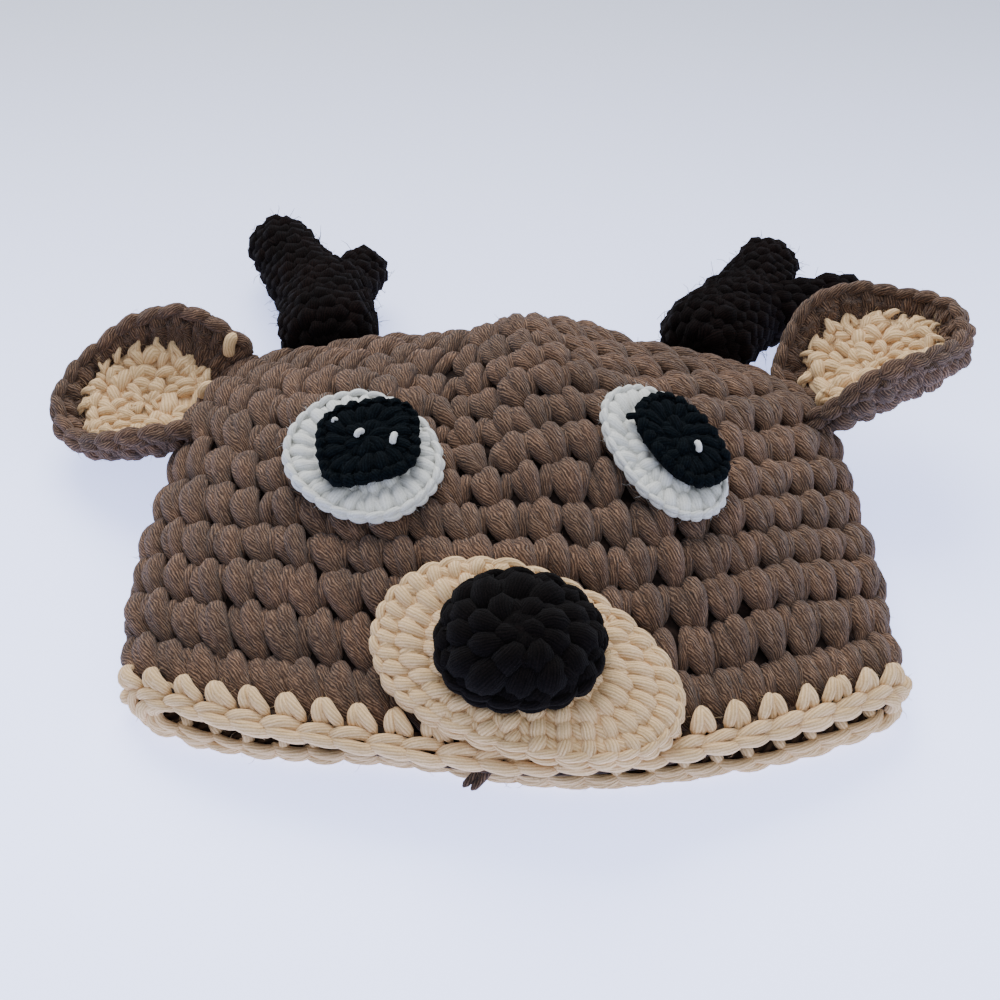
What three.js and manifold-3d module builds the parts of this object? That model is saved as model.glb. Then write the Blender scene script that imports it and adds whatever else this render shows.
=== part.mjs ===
import * as THREE from "three";
import { mergeVertices } from "three/addons/utils/BufferGeometryUtils.js";
import Module from "manifold-3d";

// Crocheted baby hat with two ears, two antlers and a face, lying on its back. Millimetres.
// X runs along the brim, Y from the brim to the closed end, Z up from the surface it lies on.

const wasm = await Module();
wasm.setup();

// Main sizes of the crown
const hat_width = 188;
const hat_length = 150;
const hat_height = 47;
const crown_wall = 7;
const fold_wall = 8.4;
const brim_at = -79;

// Hem: a ring worked on the brim
const hem_width = 8.5;
const hem_wall = 6.6;
const hem_edge_round = 2.4;

// Clearances between pieces that touch
const hem_clearance = 0.3;
const patch_clearance = 0.5;
const sewn_clearance = 0.4;

// Mesh fineness
const crown_stations = 52;
const crown_rows = 18;
const cavity_rows = 12;
const cavity_end = 0.94;

// Crown sections from the brim (at 0) to the closed end (at 1).
// left, right: plan half-widths as shares of hat_width, measured from X = 0
// left_y, right_y: how far along the side folds the row lies, shares of hat_length from the brim line
// front_y, back_y: the same on the middle of the front and of the back
// top, fold, under: heights of front, side fold and back, shares of hat_height
// bow: 2 for a flat brim row, 1 for a round one
const crown_sections = [
  { at: -0.12, left: 0.457, right: 0.48, left_y: 0.015, right_y: 0.022,
    front_y: -0.16, back_y: -0.1, top: 0.395, fold: 0.2, under: 0, bow: 2.1 },
  { at: 0.0, left: 0.483, right: 0.494, left_y: 0.147, right_y: 0.153,
    front_y: -0.028, back_y: 0.034, top: 0.45, fold: 0.2, under: 0, bow: 2.0 },
  { at: 0.1, left: 0.502, right: 0.498, left_y: 0.28, right_y: 0.273, front_y: 0.09,
    back_y: 0.135, top: 0.575, fold: 0.2, under: 0, bow: 1.9 },
  { at: 0.2, left: 0.502, right: 0.492, left_y: 0.413, right_y: 0.393, front_y: 0.2,
    back_y: 0.231, top: 0.732, fold: 0.2, under: 0, bow: 1.75 },
  { at: 0.3, left: 0.488, right: 0.48, left_y: 0.547, right_y: 0.513, front_y: 0.3,
    back_y: 0.328, top: 0.843, fold: 0.2, under: 0, bow: 1.6 },
  { at: 0.4, left: 0.472, right: 0.47, left_y: 0.68, right_y: 0.633, front_y: 0.403,
    back_y: 0.425, top: 0.93, fold: 0.205, under: 0, bow: 1.45 },
  { at: 0.5, left: 0.448, right: 0.453, left_y: 0.81, right_y: 0.751,
    front_y: 0.509, back_y: 0.521, top: 0.979, fold: 0.215, under: 0, bow: 1.35 },
  { at: 0.6, left: 0.388, right: 0.404, left_y: 0.919, right_y: 0.851,
    front_y: 0.615, back_y: 0.618, top: 0.975, fold: 0.225, under: 0, bow: 1.25 },
  { at: 0.7, left: 0.29, right: 0.314, left_y: 0.957, right_y: 0.884, front_y: 0.72,
    back_y: 0.715, top: 0.919, fold: 0.245, under: 0, bow: 1.15 },
  { at: 0.8, left: 0.181, right: 0.219, left_y: 0.957, right_y: 0.907,
    front_y: 0.82, back_y: 0.811, top: 0.802, fold: 0.26, under: 0, bow: 1.08 },
  { at: 0.9, left: 0.074, right: 0.126, left_y: 0.953, right_y: 0.929,
    front_y: 0.904, back_y: 0.907, top: 0.596, fold: 0.28, under: 0.05, bow: 1.0 },
  { at: 1.0, left: -0.032, right: 0.032, left_y: 0.953, right_y: 0.953,
    front_y: 0.953, back_y: 0.953, top: 0.3, fold: 0.3, under: 0.3, bow: 1.0 },
];

// Folds of the front: a hump rises, a dent sinks. Places and reaches are shares of hat_width and hat_length.
const crown_folds = [
  { name: "middle_hump", x: 0.045, y: 0.72, reach_x: 0.1, reach_y: 0.2, rise: 0.08 },
  { name: "left_dent", x: -0.08, y: 0.56, reach_x: 0.06, reach_y: 0.13, rise: -0.075 },
  { name: "left_eye_swell", x: -0.24, y: 0.5, reach_x: 0.12, reach_y: 0.2, rise: 0.03 },
  { name: "right_eye_swell", x: 0.24, y: 0.56, reach_x: 0.12, reach_y: 0.2, rise: 0.03 },
];

// Waves that draw the brim in towards the closed end. x and reach are shares of hat_width,
// shift of hat_length.
const brim_waves = [
  { name: "front_left", front: 1, x: -0.2, reach: 0.17, shift: 0.02 },
  { name: "back_left", front: 0, x: -0.17, reach: 0.18, shift: 0.04 },
];
const wave_end = 0.35;

// Fullness of the front section and squareness of the flattened back
const front_fullness = 2.4;
const back_squareness = 6;
const back_spread = 1.15;

// Face patches. x, y: middle in plan, as shares of the hat's width and of its length from the brim.
// long, wide: full sizes across. turn: degrees anticlockwise from X.
// square: 2 for an oval, more for a squarer outline. Each lies on the piece named by its own height value.
const eye_white_wall = 3.2;
const eye_pupil_wall = 3.4;
const left_eye = { x: -0.1872, y: 0.4347, long: 42.5, wide: 33, turn: 133, square: 2.15 };
const left_pupil = { x: -0.1809, y: 0.4347, long: 27.5, wide: 21, turn: 133, square: 2.6 };
const right_eye = { x: 0.1936, y: 0.4427, long: 39.5, wide: 25.5, turn: 119, square: 2.15 };
const right_pupil = { x: 0.2117, y: 0.4493, long: 27.5, wide: 18.5, turn: 124, square: 2.4 };

const muzzle_outline = { x: 0.018, y: 0.072, long: 72, wide: 41.5, turn: -21, square: 2.15 };
const muzzle_edge_wall = 5;
const muzzle_dome = 4.5;
const nose_outline = { x: 0.011, y: 0.089, long: 36, wide: 32.5, turn: -10, square: 2.2 };
const nose_edge_wall = 4;
const nose_dome = 6.5;

// Ears. The root is where the ear meets the crown and the tip its free end, as shares of the hat's width,
// of its length from the brim, and of its height. lean: degrees by which the hollow side faces the brim.
// cup: how far the rim stands above the middle. pinch: how much more the sides stand up at the root.
const ear_wall = 4.6;
const ear_pad_wall = 3;
const ear_pad_share = 0.7;
const left_ear = {
  root: [-0.351, 0.78, 0.447],
  tip: [-0.657, 0.793, 0.298],
  width: 45,
  lean: 9,
  cup: 15,
  pinch: 0.8,
};
const right_ear = {
  root: [0.385, 0.72, 0.56],
  tip: [0.635, 0.83, 0.85],
  width: 46,
  lean: -12,
  cup: 15,
  pinch: 0.5,
};
// Height of the inside's turned-up edge, and how much the lining sinks at its rim as a share of its wall
const ear_edge_rise = 0.9;
const ear_pad_sink = 0.25;
// Ear outline: half width as a share of the greatest, from the root to the tip
const ear_outline = [
  { at: 0.0, half: 0.5 },
  { at: 0.12, half: 0.72 },
  { at: 0.3, half: 0.93 },
  { at: 0.5, half: 1.0 },
  { at: 0.7, half: 0.93 },
  { at: 0.85, half: 0.71 },
  { at: 0.95, half: 0.42 },
  { at: 1.0, half: 0.0 },
];

// Antlers: a palm and two fingers. Each limb runs between two points, as shares of the hat's width, of its
// length from the brim, and of its height, with a radius at each as a share of the palm's greatest width.
// flat: thickness as a share of the width.
const antler_width = 28;
const antler_flat = 0.86;

// How finely the soft pieces are faceted: corners round a piece, and its inner rings as shares of its rim
const nose_corners = 26;
const ear_corners = 30;
const ear_pad_corners = 22;
const limb_corners = 14;
const limb_end_rings = 5;
const patch_rings = [0.3, 0.58, 0.82];
const ear_rings = [0.25, 0.5, 0.72, 0.88];
const ear_pad_rings = [0.35, 0.7];
// Rounded rim of a soft piece, from its lower face to its upper one
const rim_profile = [
  { share: 0.955, lift: 0.0 },
  { share: 0.99, lift: 0.16 },
  { share: 1.0, lift: 0.45 },
  { share: 0.985, lift: 0.76 },
  { share: 0.95, lift: 0.94 },
];

const left_antler_limbs = [
  { name: "palm", from: [-0.266, 0.9267, 0.4894], to: [-0.2819, 1.0933, 0.3617],
    from_radius: 0.5, to_radius: 0.4821 },
  { name: "long_finger", from: [-0.2926, 1.08, 0.3617],
    to: [-0.3644, 1.2933, 0.2766], from_radius: 0.4286, to_radius: 0.3643 },
  { name: "short_finger", from: [-0.2606, 1.08, 0.3617],
    to: [-0.2314, 1.2033, 0.2766], from_radius: 0.3393, to_radius: 0.2929 },
];
const right_antler_limbs = [
  { name: "palm", from: [0.2926, 0.9, 0.5106], to: [0.3511, 1.0333, 0.383],
    from_radius: 0.5, to_radius: 0.4821 },
  { name: "long_finger", from: [0.3511, 1.0333, 0.383], to: [0.4043, 1.2, 0.3191],
    from_radius: 0.4107, to_radius: 0.3571 },
  { name: "short_finger", from: [0.3723, 1.0133, 0.383],
    to: [0.5053, 1.0933, 0.3191], from_radius: 0.3571, to_radius: 0.3071 },
];

// Colours
const brown = 0x69554e;
const tan = 0xdcbe9b;
const dark_brown = 0x261a18;
const nose_brown = 0x1f1719;
const eye_white = 0xdfe4e6;
const pupil_black = 0x10141b;

// A column of a table, read smoothly at any place by a cubic through its rows
function readTable(table, column, at) {
  const last = table.length - 2;
  let i = table.findIndex((row) => row.at > at) - 1;
  if (i < -1 || i > last) i = last;
  if (i < 0) i = 0;
  const before = table[Math.max(0, i - 1)];
  const low = table[i];
  const high = table[i + 1];
  const after = table[Math.min(table.length - 1, i + 2)];
  const step = high.at - low.at;
  const t = (at - low.at) / step;
  const slope_low = ((high[column] - before[column]) / (high.at - before.at)) * step;
  const slope_high = ((after[column] - low[column]) / (after.at - low.at)) * step;
  const t2 = t * t;
  const t3 = t2 * t;
  return (
    low[column] * (2 * t3 - 3 * t2 + 1) +
    slope_low * (t3 - 2 * t2 + t) +
    high[column] * (3 * t2 - 2 * t3) +
    slope_high * (t3 - t2)
  );
}

// Sizes of the crown's section at a row
function crownSection(at) {
  const read = (column) => readTable(crown_sections, column, at);
  const left = -read("left") * hat_width;
  const right = read("right") * hat_width;
  return {
    middle: (left + right) / 2,
    half: (right - left) / 2,
    side_y: brim_at + ((read("left_y") + read("right_y")) / 2) * hat_length,
    side_slant: ((read("right_y") - read("left_y")) / 2) * hat_length,
    front_y: brim_at + read("front_y") * hat_length,
    back_y: brim_at + read("back_y") * hat_length,
    top: read("top") * hat_height,
    fold: read("fold") * hat_height,
    under: Math.max(0, read("under")) * hat_height,
    bow: read("bow"),
    wave: 1 - THREE.MathUtils.smoothstep(at, 0, wave_end),
  };
}

// Rise of the folds at a place in plan
function foldRise(x, y) {
  let rise = 0;
  for (const fold of crown_folds) {
    const dx = (x - fold.x * hat_width) / (fold.reach_x * hat_width);
    const dy = (y - brim_at - fold.y * hat_length) / (fold.reach_y * hat_length);
    rise += fold.rise * hat_height * Math.exp(-dx * dx - dy * dy);
  }
  return rise;
}

// Shift of the brim's waves at a place across the hat
function waveShift(front, x) {
  let shift = 0;
  for (const wave of brim_waves) {
    const d = (x - wave.x * hat_width) / (wave.reach * hat_width);
    if (front === (wave.front === 1)) shift += wave.shift * hat_length * Math.exp(-d * d);
  }
  return shift;
}

// A point of a section at an angle: 0 on the right fold, a quarter turn on the front, half on the left fold
function sectionPoint(section, angle) {
  const c = Math.cos(angle);
  const s = Math.abs(Math.sin(angle));
  const front = Math.sin(angle) >= 0;
  const x = section.middle + section.half * c;
  const side = section.side_y + section.side_slant * c;
  const centre = front ? section.front_y : section.back_y;
  const wave = section.wave * waveShift(front, x) * s;
  const y = side + (centre - side) * Math.pow(s, section.bow) + wave;
  if (front) {
    const z = section.fold + (section.top - section.fold) * Math.pow(s, 2 / front_fullness);
    return new THREE.Vector3(x, y, z + foldRise(x, y) * s);
  }
  const drop = Math.min(1, back_spread * Math.pow(s, 2 / back_squareness));
  return new THREE.Vector3(x, y, section.fold + (section.under - section.fold) * drop);
}

// The section of the hollow inside the crown
function cavitySection(at) {
  const section = crownSection(at);
  const far = THREE.MathUtils.smoothstep(at, 0.45, 0.75);
  section.half = Math.max(0, section.half - fold_wall);
  section.side_y -= crown_wall * 1.2 * far;
  section.front_y = Math.min(section.front_y, section.side_y);
  section.back_y = Math.min(section.back_y, section.side_y);
  const steep = 1 + 0.45 * THREE.MathUtils.smoothstep(at, 0.6, 0.9);
  section.top = section.fold + Math.max(0, section.top - section.fold - crown_wall * steep);
  section.under = section.fold - Math.max(0, section.fold - section.under - crown_wall);
  return section;
}

// Angles that share a section's girth into equal steps
function evenAngles(section, count) {
  const fine = 720;
  const lengths = [0];
  let previous = sectionPoint(section, 0);
  for (let i = 1; i <= fine; i++) {
    const point = sectionPoint(section, (i / fine) * 2 * Math.PI);
    lengths.push(lengths[i - 1] + point.distanceTo(previous));
    previous = point;
  }
  const angles = [];
  let i = 0;
  for (let k = 0; k < count; k++) {
    const wanted = (k / count) * lengths[fine];
    while (lengths[i + 1] < wanted) i++;
    const share = (wanted - lengths[i]) / Math.max(1e-9, lengths[i + 1] - lengths[i]);
    angles.push(((i + share) / fine) * 2 * Math.PI);
  }
  return angles;
}

function ringOf(section, count) {
  return evenAngles(section, count).map((angle) => sectionPoint(section, angle));
}

// Closed body through a list of rings of equal length. A ring of one point closes an end.
function bodyFromRings(rings, joined) {
  const positions = [];
  const starts = [];
  for (const ring of rings) {
    starts.push(positions.length / 3);
    for (const point of ring) positions.push(point.x, point.y, point.z);
  }
  const faces = [];
  const pairs = joined ? rings.length : rings.length - 1;
  for (let r = 0; r < pairs; r++) {
    const next = (r + 1) % rings.length;
    const count = Math.max(rings[r].length, rings[next].length);
    for (let k = 0; k < count; k++) {
      const a = starts[r] + (rings[r].length === 1 ? 0 : k);
      const b = starts[r] + (rings[r].length === 1 ? 0 : (k + 1) % count);
      const c = starts[next] + (rings[next].length === 1 ? 0 : k);
      const d = starts[next] + (rings[next].length === 1 ? 0 : (k + 1) % count);
      if (a !== b) faces.push(a, b, c);
      if (c !== d) faces.push(b, d, c);
    }
  }
  const geometry = new THREE.BufferGeometry();
  geometry.setAttribute("position", new THREE.Float32BufferAttribute(positions, 3));
  geometry.setIndex(faces);
  return outward(geometry);
}

// Turns every face round if the body's volume comes out negative
function outward(geometry) {
  const p = geometry.attributes.position;
  const index = geometry.index;
  const a = new THREE.Vector3();
  const b = new THREE.Vector3();
  const c = new THREE.Vector3();
  let volume = 0;
  for (let i = 0; i < index.count; i += 3) {
    a.fromBufferAttribute(p, index.getX(i));
    b.fromBufferAttribute(p, index.getX(i + 1));
    c.fromBufferAttribute(p, index.getX(i + 2));
    volume += a.dot(b.cross(c));
  }
  if (volume < 0) {
    for (let i = 0; i < index.count; i += 3) {
      const kept = index.getX(i + 1);
      index.setX(i + 1, index.getX(i + 2));
      index.setX(i + 2, kept);
    }
  }
  geometry.computeVertexNormals();
  return geometry;
}

// Height and slope of the crown's front over a place in plan
function frontHeight(x, y) {
  let low = -0.3;
  let high = 1;
  for (let i = 0; i < 40; i++) {
    const at = (low + high) / 2;
    const section = crownSection(at);
    const c = (x - section.middle) / Math.max(1e-6, section.half);
    const inside = Math.abs(c) < 0.9995;
    const s = inside ? Math.sqrt(1 - c * c) : 0;
    const side = section.side_y + section.side_slant * c;
    const wave = section.wave * waveShift(true, x) * s;
    const row_y = side + (section.front_y - side) * Math.pow(s, section.bow) + wave;
    if (!inside || row_y > y) high = at;
    else low = at;
  }
  const section = crownSection(low);
  const c = THREE.MathUtils.clamp((x - section.middle) / section.half, -1, 1);
  return sectionPoint(section, Math.acos(c)).z;
}

function frontPoint(x, y, lift) {
  const step = 1.5;
  const slope_x = (frontHeight(x + step, y) - frontHeight(x - step, y)) / (2 * step);
  const slope_y = (frontHeight(x, y + step) - frontHeight(x, y - step)) / (2 * step);
  const normal = new THREE.Vector3(-slope_x, -slope_y, 1).normalize();
  return new THREE.Vector3(x, y, frontHeight(x, y)).addScaledVector(normal, lift);
}

// Plan place of a patch at a share of its outline and an angle round it
function patchPlace(patch, share, angle) {
  const c = Math.cos(angle);
  const s = Math.sin(angle);
  const reach = Math.pow(
    Math.pow(Math.abs(c), patch.square) + Math.pow(Math.abs(s), patch.square),
    -1 / patch.square,
  );
  const along = ((patch.long / 2) * share * reach) * c;
  const across = ((patch.wide / 2) * share * reach) * s;
  const turn = THREE.MathUtils.degToRad(patch.turn);
  return [
    patch.x * hat_width + along * Math.cos(turn) - across * Math.sin(turn),
    brim_at + patch.y * hat_length + along * Math.sin(turn) + across * Math.cos(turn),
  ];
}

// A soft round-edged pad. place(share, angle, lift) gives a point over the surface that carries it,
// under(share) and over(share) its two faces' heights.
function softPad(place, under, over, count, inner_shares) {
  const middle = [];
  for (let k = 0; k < count; k++) middle.push((k / count) * 2 * Math.PI);
  const ring = (share, lift) => middle.map((angle) => place(share, angle, lift));
  const rings = [[place(0, 0, under(0))]];
  for (const share of inner_shares) rings.push(ring(share, under(share)));
  for (const { share, lift } of rim_profile) {
    const low = under(share);
    rings.push(ring(share, low + (over(share) - low) * lift));
  }
  for (const share of [...inner_shares].reverse()) rings.push(ring(share, over(share)));
  rings.push([place(0, 0, over(0))]);
  return bodyFromRings(rings, false);
}

function crownPatch(patch, clear, wall, dome, count) {
  const place = (share, angle, lift) => frontPoint(...patchPlace(patch, share, angle), lift);
  const over = (share) => clear + wall + dome * (1 - share * share);
  return softPad(place, () => clear, over, count, patch_rings);
}

// Height of the muzzle's face over the crown at a place in plan
function muzzleHeight(x, y) {
  const turn = THREE.MathUtils.degToRad(muzzle_outline.turn);
  const dx = x - muzzle_outline.x * hat_width;
  const dy = y - (brim_at + muzzle_outline.y * hat_length);
  const along = (dx * Math.cos(turn) + dy * Math.sin(turn)) / (muzzle_outline.long / 2);
  const across = (dy * Math.cos(turn) - dx * Math.sin(turn)) / (muzzle_outline.wide / 2);
  const power = muzzle_outline.square;
  const share = Math.pow(Math.pow(Math.abs(along), power) + Math.pow(Math.abs(across), power), 1 / power);
  return patch_clearance + muzzle_edge_wall + muzzle_dome * (1 - Math.min(1, share * share));
}

function makeNose() {
  const place = (share, angle, lift) => {
    const [x, y] = patchPlace(nose_outline, share, angle);
    return frontPoint(x, y, muzzleHeight(x, y) + patch_clearance + lift);
  };
  const over = (share) => nose_edge_wall + nose_dome * (1 - share * share);
  return softPad(place, () => 0, over, nose_corners, patch_rings);
}

// Crown: outer skin from the closed end to the brim, then the hollow from the brim to its far end
function makeCrown() {
  const rings = [[sectionPoint(crownSection(1), 0)]];
  for (let r = 1; r <= crown_rows; r++) {
    const at = 1 - Math.pow(r / crown_rows, 0.97);
    rings.push(ringOf(crownSection(Math.max(0, at)), crown_stations));
  }
  const brim_angles = evenAngles(crownSection(0), crown_stations);
  const away = new THREE.Vector3(0, hem_clearance, 0);
  rings.push(brim_angles.map((angle) => hemPoint(angle, 0, 1).add(away)));
  for (let r = 1; r < cavity_rows; r++) {
    const at = cavity_end * (1 - Math.pow(1 - r / cavity_rows, 1.15));
    rings.push(ringOf(cavitySection(at), crown_stations));
  }
  const end = cavitySection(cavity_end);
  rings.push([new THREE.Vector3(end.middle, end.side_y - 1, end.fold)]);
  return bodyFromRings(rings, false);
}

// Place on the hem: across runs 0 on the outside to 1 on the inside, along from the brim to the hem's edge
function hemPoint(angle, along, across) {
  const at = crown_sections[0].at * along;
  const outer = sectionPoint(crownSection(at), angle);
  const section = crownSection(at);
  section.half -= hem_wall;
  section.top -= hem_wall;
  section.under += hem_wall;
  const inner = sectionPoint(section, angle);
  const point = outer.clone().lerp(inner, across);
  const brim = sectionPoint(crownSection(0), angle);
  const flat_y = brim.y - hem_clearance - (hem_width - hem_clearance) * along;
  return new THREE.Vector3(point.x, flat_y, point.z);
}

function makeHem() {
  const soft = hem_edge_round / hem_width;
  const profile = [
    [0, 1],
    [0.45, 1],
    [1 - soft, 0.97],
    [1 - soft * 0.3, 0.84],
    [1, 0.62],
    [1, 0.38],
    [1 - soft * 0.3, 0.16],
    [1 - soft, 0.03],
    [0.45, 0],
    [0, 0],
  ];
  const angles = evenAngles(crownSection(0), crown_stations);
  const rings = profile.map(([along, across]) => angles.map((angle) => hemPoint(angle, along, across)));
  return bodyFromRings(rings, true);
}

// A point given by its shares of the hat's width, of its length from the brim, and of its height
function onHat([x, y, z]) {
  return new THREE.Vector3(x * hat_width, brim_at + y * hat_length, z * hat_height);
}

// Ear: frame with the length axis from root to tip, and the hollow side up and leaning to the brim
function earFrame(ear) {
  const root = onHat(ear.root);
  const length_axis = onHat(ear.tip).sub(root);
  const length = length_axis.length();
  length_axis.normalize();
  const lean = THREE.MathUtils.degToRad(ear.lean);
  const facing = new THREE.Vector3(0, -Math.sin(lean), Math.cos(lean));
  const width_axis = new THREE.Vector3().crossVectors(facing, length_axis).normalize();
  const normal = new THREE.Vector3().crossVectors(length_axis, width_axis).normalize();
  return { root, length_axis, width_axis, normal, length };
}

// A point over the ear's hollow face, at a share of the outline and an angle round its middle
function earPoint(ear, frame, share, angle, lift) {
  const along = 0.5 + 0.5 * Math.cos(angle) * share;
  const round = Math.sqrt(Math.max(0, 1 - Math.pow(Math.cos(angle), 2)));
  const half = readTable(ear_outline, "half", 0.5 + 0.5 * Math.cos(angle));
  const full = Math.max(0, half) * (ear.width / 2);
  const across = Math.sign(Math.sin(angle)) * full * share * Math.min(1, 0.55 + round);
  const reach = across / (ear.width / 2);
  const end = Math.max(0, (along - 0.55) / 0.45);
  const gather = 1 + ear.pinch * Math.pow(1 - along, 2);
  const rise = ear.cup * (Math.pow(Math.abs(reach), 3) * 0.9 * gather + end * end * 0.55) - ear.cup * 0.35;
  return frame.root
    .clone()
    .addScaledVector(frame.length_axis, along * frame.length)
    .addScaledVector(frame.width_axis, across)
    .addScaledVector(frame.normal, rise + lift);
}

function makeEarOuter(ear) {
  const frame = earFrame(ear);
  const place = (share, angle, lift) => earPoint(ear, frame, share, angle, lift);
  const over = (share) => ear_edge_rise * THREE.MathUtils.smoothstep(share, 0.75, 0.95);
  return softPad(place, () => -ear_wall, over, ear_corners, ear_rings);
}

function makeEarInner(ear) {
  const frame = earFrame(ear);
  const place = (share, angle, lift) => earPoint(ear, frame, share * ear_pad_share, angle, lift);
  const over = (share) => sewn_clearance + ear_pad_wall * (1 - ear_pad_sink * share * share);
  return softPad(place, () => sewn_clearance, over, ear_pad_corners, ear_pad_rings);
}

// A limb with round ends and a radius at each
function makeLimb(limb) {
  const from = onHat(limb.from);
  const to = onHat(limb.to);
  const axis = to.clone().sub(from);
  const length = axis.length();
  const from_radius = limb.from_radius * antler_width;
  const to_radius = limb.to_radius * antler_width;
  const profile = [];
  for (let i = 0; i <= limb_end_rings; i++) {
    const a = (i / limb_end_rings) * (Math.PI / 2);
    profile.push([from_radius * Math.sin(a), -from_radius * Math.cos(a)]);
  }
  for (let i = 0; i <= limb_end_rings; i++) {
    const a = (i / limb_end_rings) * (Math.PI / 2);
    profile.push([to_radius * Math.cos(a), length + to_radius * Math.sin(a)]);
  }
  const side = new THREE.Vector3().crossVectors(axis, new THREE.Vector3(0, 0, 1)).normalize();
  axis.normalize();
  const up = new THREE.Vector3().crossVectors(side, axis).normalize();
  const rings = profile.map(([radius, along]) => {
    if (radius < 1e-6) return [from.clone().addScaledVector(axis, along)];
    const ring = [];
    for (let k = 0; k < limb_corners; k++) {
      const a = (k / limb_corners) * 2 * Math.PI;
      ring.push(
        from
          .clone()
          .addScaledVector(axis, along)
          .addScaledVector(side, radius * Math.cos(a))
          .addScaledVector(up, radius * antler_flat * Math.sin(a)),
      );
    }
    return ring;
  });
  rings[rings.length - 1] = [from.clone().addScaledVector(axis, length + to_radius)];
  return bodyFromRings(rings, false);
}

// Solids for adding and cutting
function solidOf(geometry) {
  const plain = geometry.clone();
  plain.deleteAttribute("normal");
  plain.deleteAttribute("uv");
  const merged = mergeVertices(plain, 1e-4);
  return new wasm.Manifold(
    new wasm.Mesh({
      numProp: 3,
      vertProperties: new Float32Array(merged.attributes.position.array),
      triVerts: new Uint32Array(merged.index.array),
    }),
  );
}

function geometryOf(solid) {
  const mesh = solid.getMesh();
  const geometry = new THREE.BufferGeometry();
  geometry.setAttribute("position", new THREE.BufferAttribute(new Float32Array(mesh.vertProperties), 3));
  geometry.setIndex(new THREE.BufferAttribute(new Uint32Array(mesh.triVerts), 1));
  geometry.computeVertexNormals();
  return geometry;
}

// The crown without its hollow, grown all round by the sewn clearance, cuts what is sewn on to it
function crownCutter() {
  const rings = [];
  const grow = (section) => {
    section.half += sewn_clearance;
    section.side_y += sewn_clearance;
    section.front_y += sewn_clearance * 0.5;
    section.top += sewn_clearance * 1.6;
    section.under -= sewn_clearance;
    return section;
  };
  const end = crownSection(1);
  rings.push([new THREE.Vector3(end.middle, end.side_y + sewn_clearance, end.fold)]);
  for (let r = 1; r <= crown_rows; r++) {
    const at = 1 - Math.pow(r / crown_rows, 0.97);
    rings.push(ringOf(grow(crownSection(Math.max(0, at))), crown_stations));
  }
  const brim = crownSection(0);
  rings.push([new THREE.Vector3(brim.middle, brim.side_y, brim.fold)]);
  return solidOf(bodyFromRings(rings, false));
}

function largestOf(solid) {
  const bodies = solid.decompose();
  return bodies.reduce((best, body) => (body.volume() > best.volume() ? body : best));
}

function makeAntler(limbs, cutter) {
  const limb_solids = limbs.map((limb) => solidOf(makeLimb(limb)));
  const whole = limb_solids.reduce((sum, solid) => sum.add(solid));
  return geometryOf(largestOf(whole.subtract(cutter)));
}

const cutter = crownCutter();
const earOuter = (ear) => geometryOf(largestOf(solidOf(makeEarOuter(ear)).subtract(cutter)));
const earInner = (ear) => geometryOf(largestOf(solidOf(makeEarInner(ear)).subtract(cutter)));

const pupil_clear = patch_clearance + eye_white_wall + patch_clearance;

const group = new THREE.Group();
group.name = "baby_hat";

function addPiece(name, geometry, colour, roughness) {
  const material = new THREE.MeshStandardMaterial({ color: colour, roughness, metalness: 0 });
  const mesh = new THREE.Mesh(geometry, material);
  mesh.name = name;
  group.add(mesh);
}

addPiece("crown", makeCrown(), brown, 0.95);
addPiece("hem", makeHem(), tan, 0.93);
addPiece("ear_left_outer", earOuter(left_ear), brown, 0.95);
addPiece("ear_left_inner", earInner(left_ear), tan, 0.93);
addPiece("ear_right_outer", earOuter(right_ear), brown, 0.95);
addPiece("ear_right_inner", earInner(right_ear), tan, 0.93);
addPiece("antler_left", makeAntler(left_antler_limbs, cutter), dark_brown, 0.97);
addPiece("antler_right", makeAntler(right_antler_limbs, cutter), dark_brown, 0.97);
addPiece("eye_left_white", crownPatch(left_eye, patch_clearance, eye_white_wall, 0, 26), eye_white, 0.9);
addPiece("eye_left_pupil", crownPatch(left_pupil, pupil_clear, eye_pupil_wall, 0.6, 22), pupil_black, 0.9);
addPiece("eye_right_white", crownPatch(right_eye, patch_clearance, eye_white_wall, 0, 26), eye_white, 0.9);
addPiece("eye_right_pupil", crownPatch(right_pupil, pupil_clear, eye_pupil_wall, 0.6, 22), pupil_black, 0.9);
addPiece("muzzle", crownPatch(muzzle_outline, patch_clearance, muzzle_edge_wall, muzzle_dome, 34), tan, 0.93);
addPiece("nose", makeNose(), nose_brown, 0.92);

export default group;
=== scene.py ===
import math
import bpy
import numpy as np
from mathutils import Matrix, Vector


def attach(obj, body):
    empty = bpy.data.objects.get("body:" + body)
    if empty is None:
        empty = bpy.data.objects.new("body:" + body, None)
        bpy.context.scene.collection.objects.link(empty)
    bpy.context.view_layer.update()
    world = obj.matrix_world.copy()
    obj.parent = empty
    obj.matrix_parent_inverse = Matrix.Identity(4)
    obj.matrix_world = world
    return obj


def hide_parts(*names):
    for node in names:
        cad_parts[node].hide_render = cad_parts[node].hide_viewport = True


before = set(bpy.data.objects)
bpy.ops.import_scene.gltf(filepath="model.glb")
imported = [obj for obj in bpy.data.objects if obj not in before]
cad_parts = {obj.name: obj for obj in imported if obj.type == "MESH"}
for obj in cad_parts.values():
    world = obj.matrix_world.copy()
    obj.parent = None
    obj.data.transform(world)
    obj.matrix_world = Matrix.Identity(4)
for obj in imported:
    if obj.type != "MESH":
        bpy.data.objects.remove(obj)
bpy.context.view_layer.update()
rng = np.random.default_rng(11)

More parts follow.
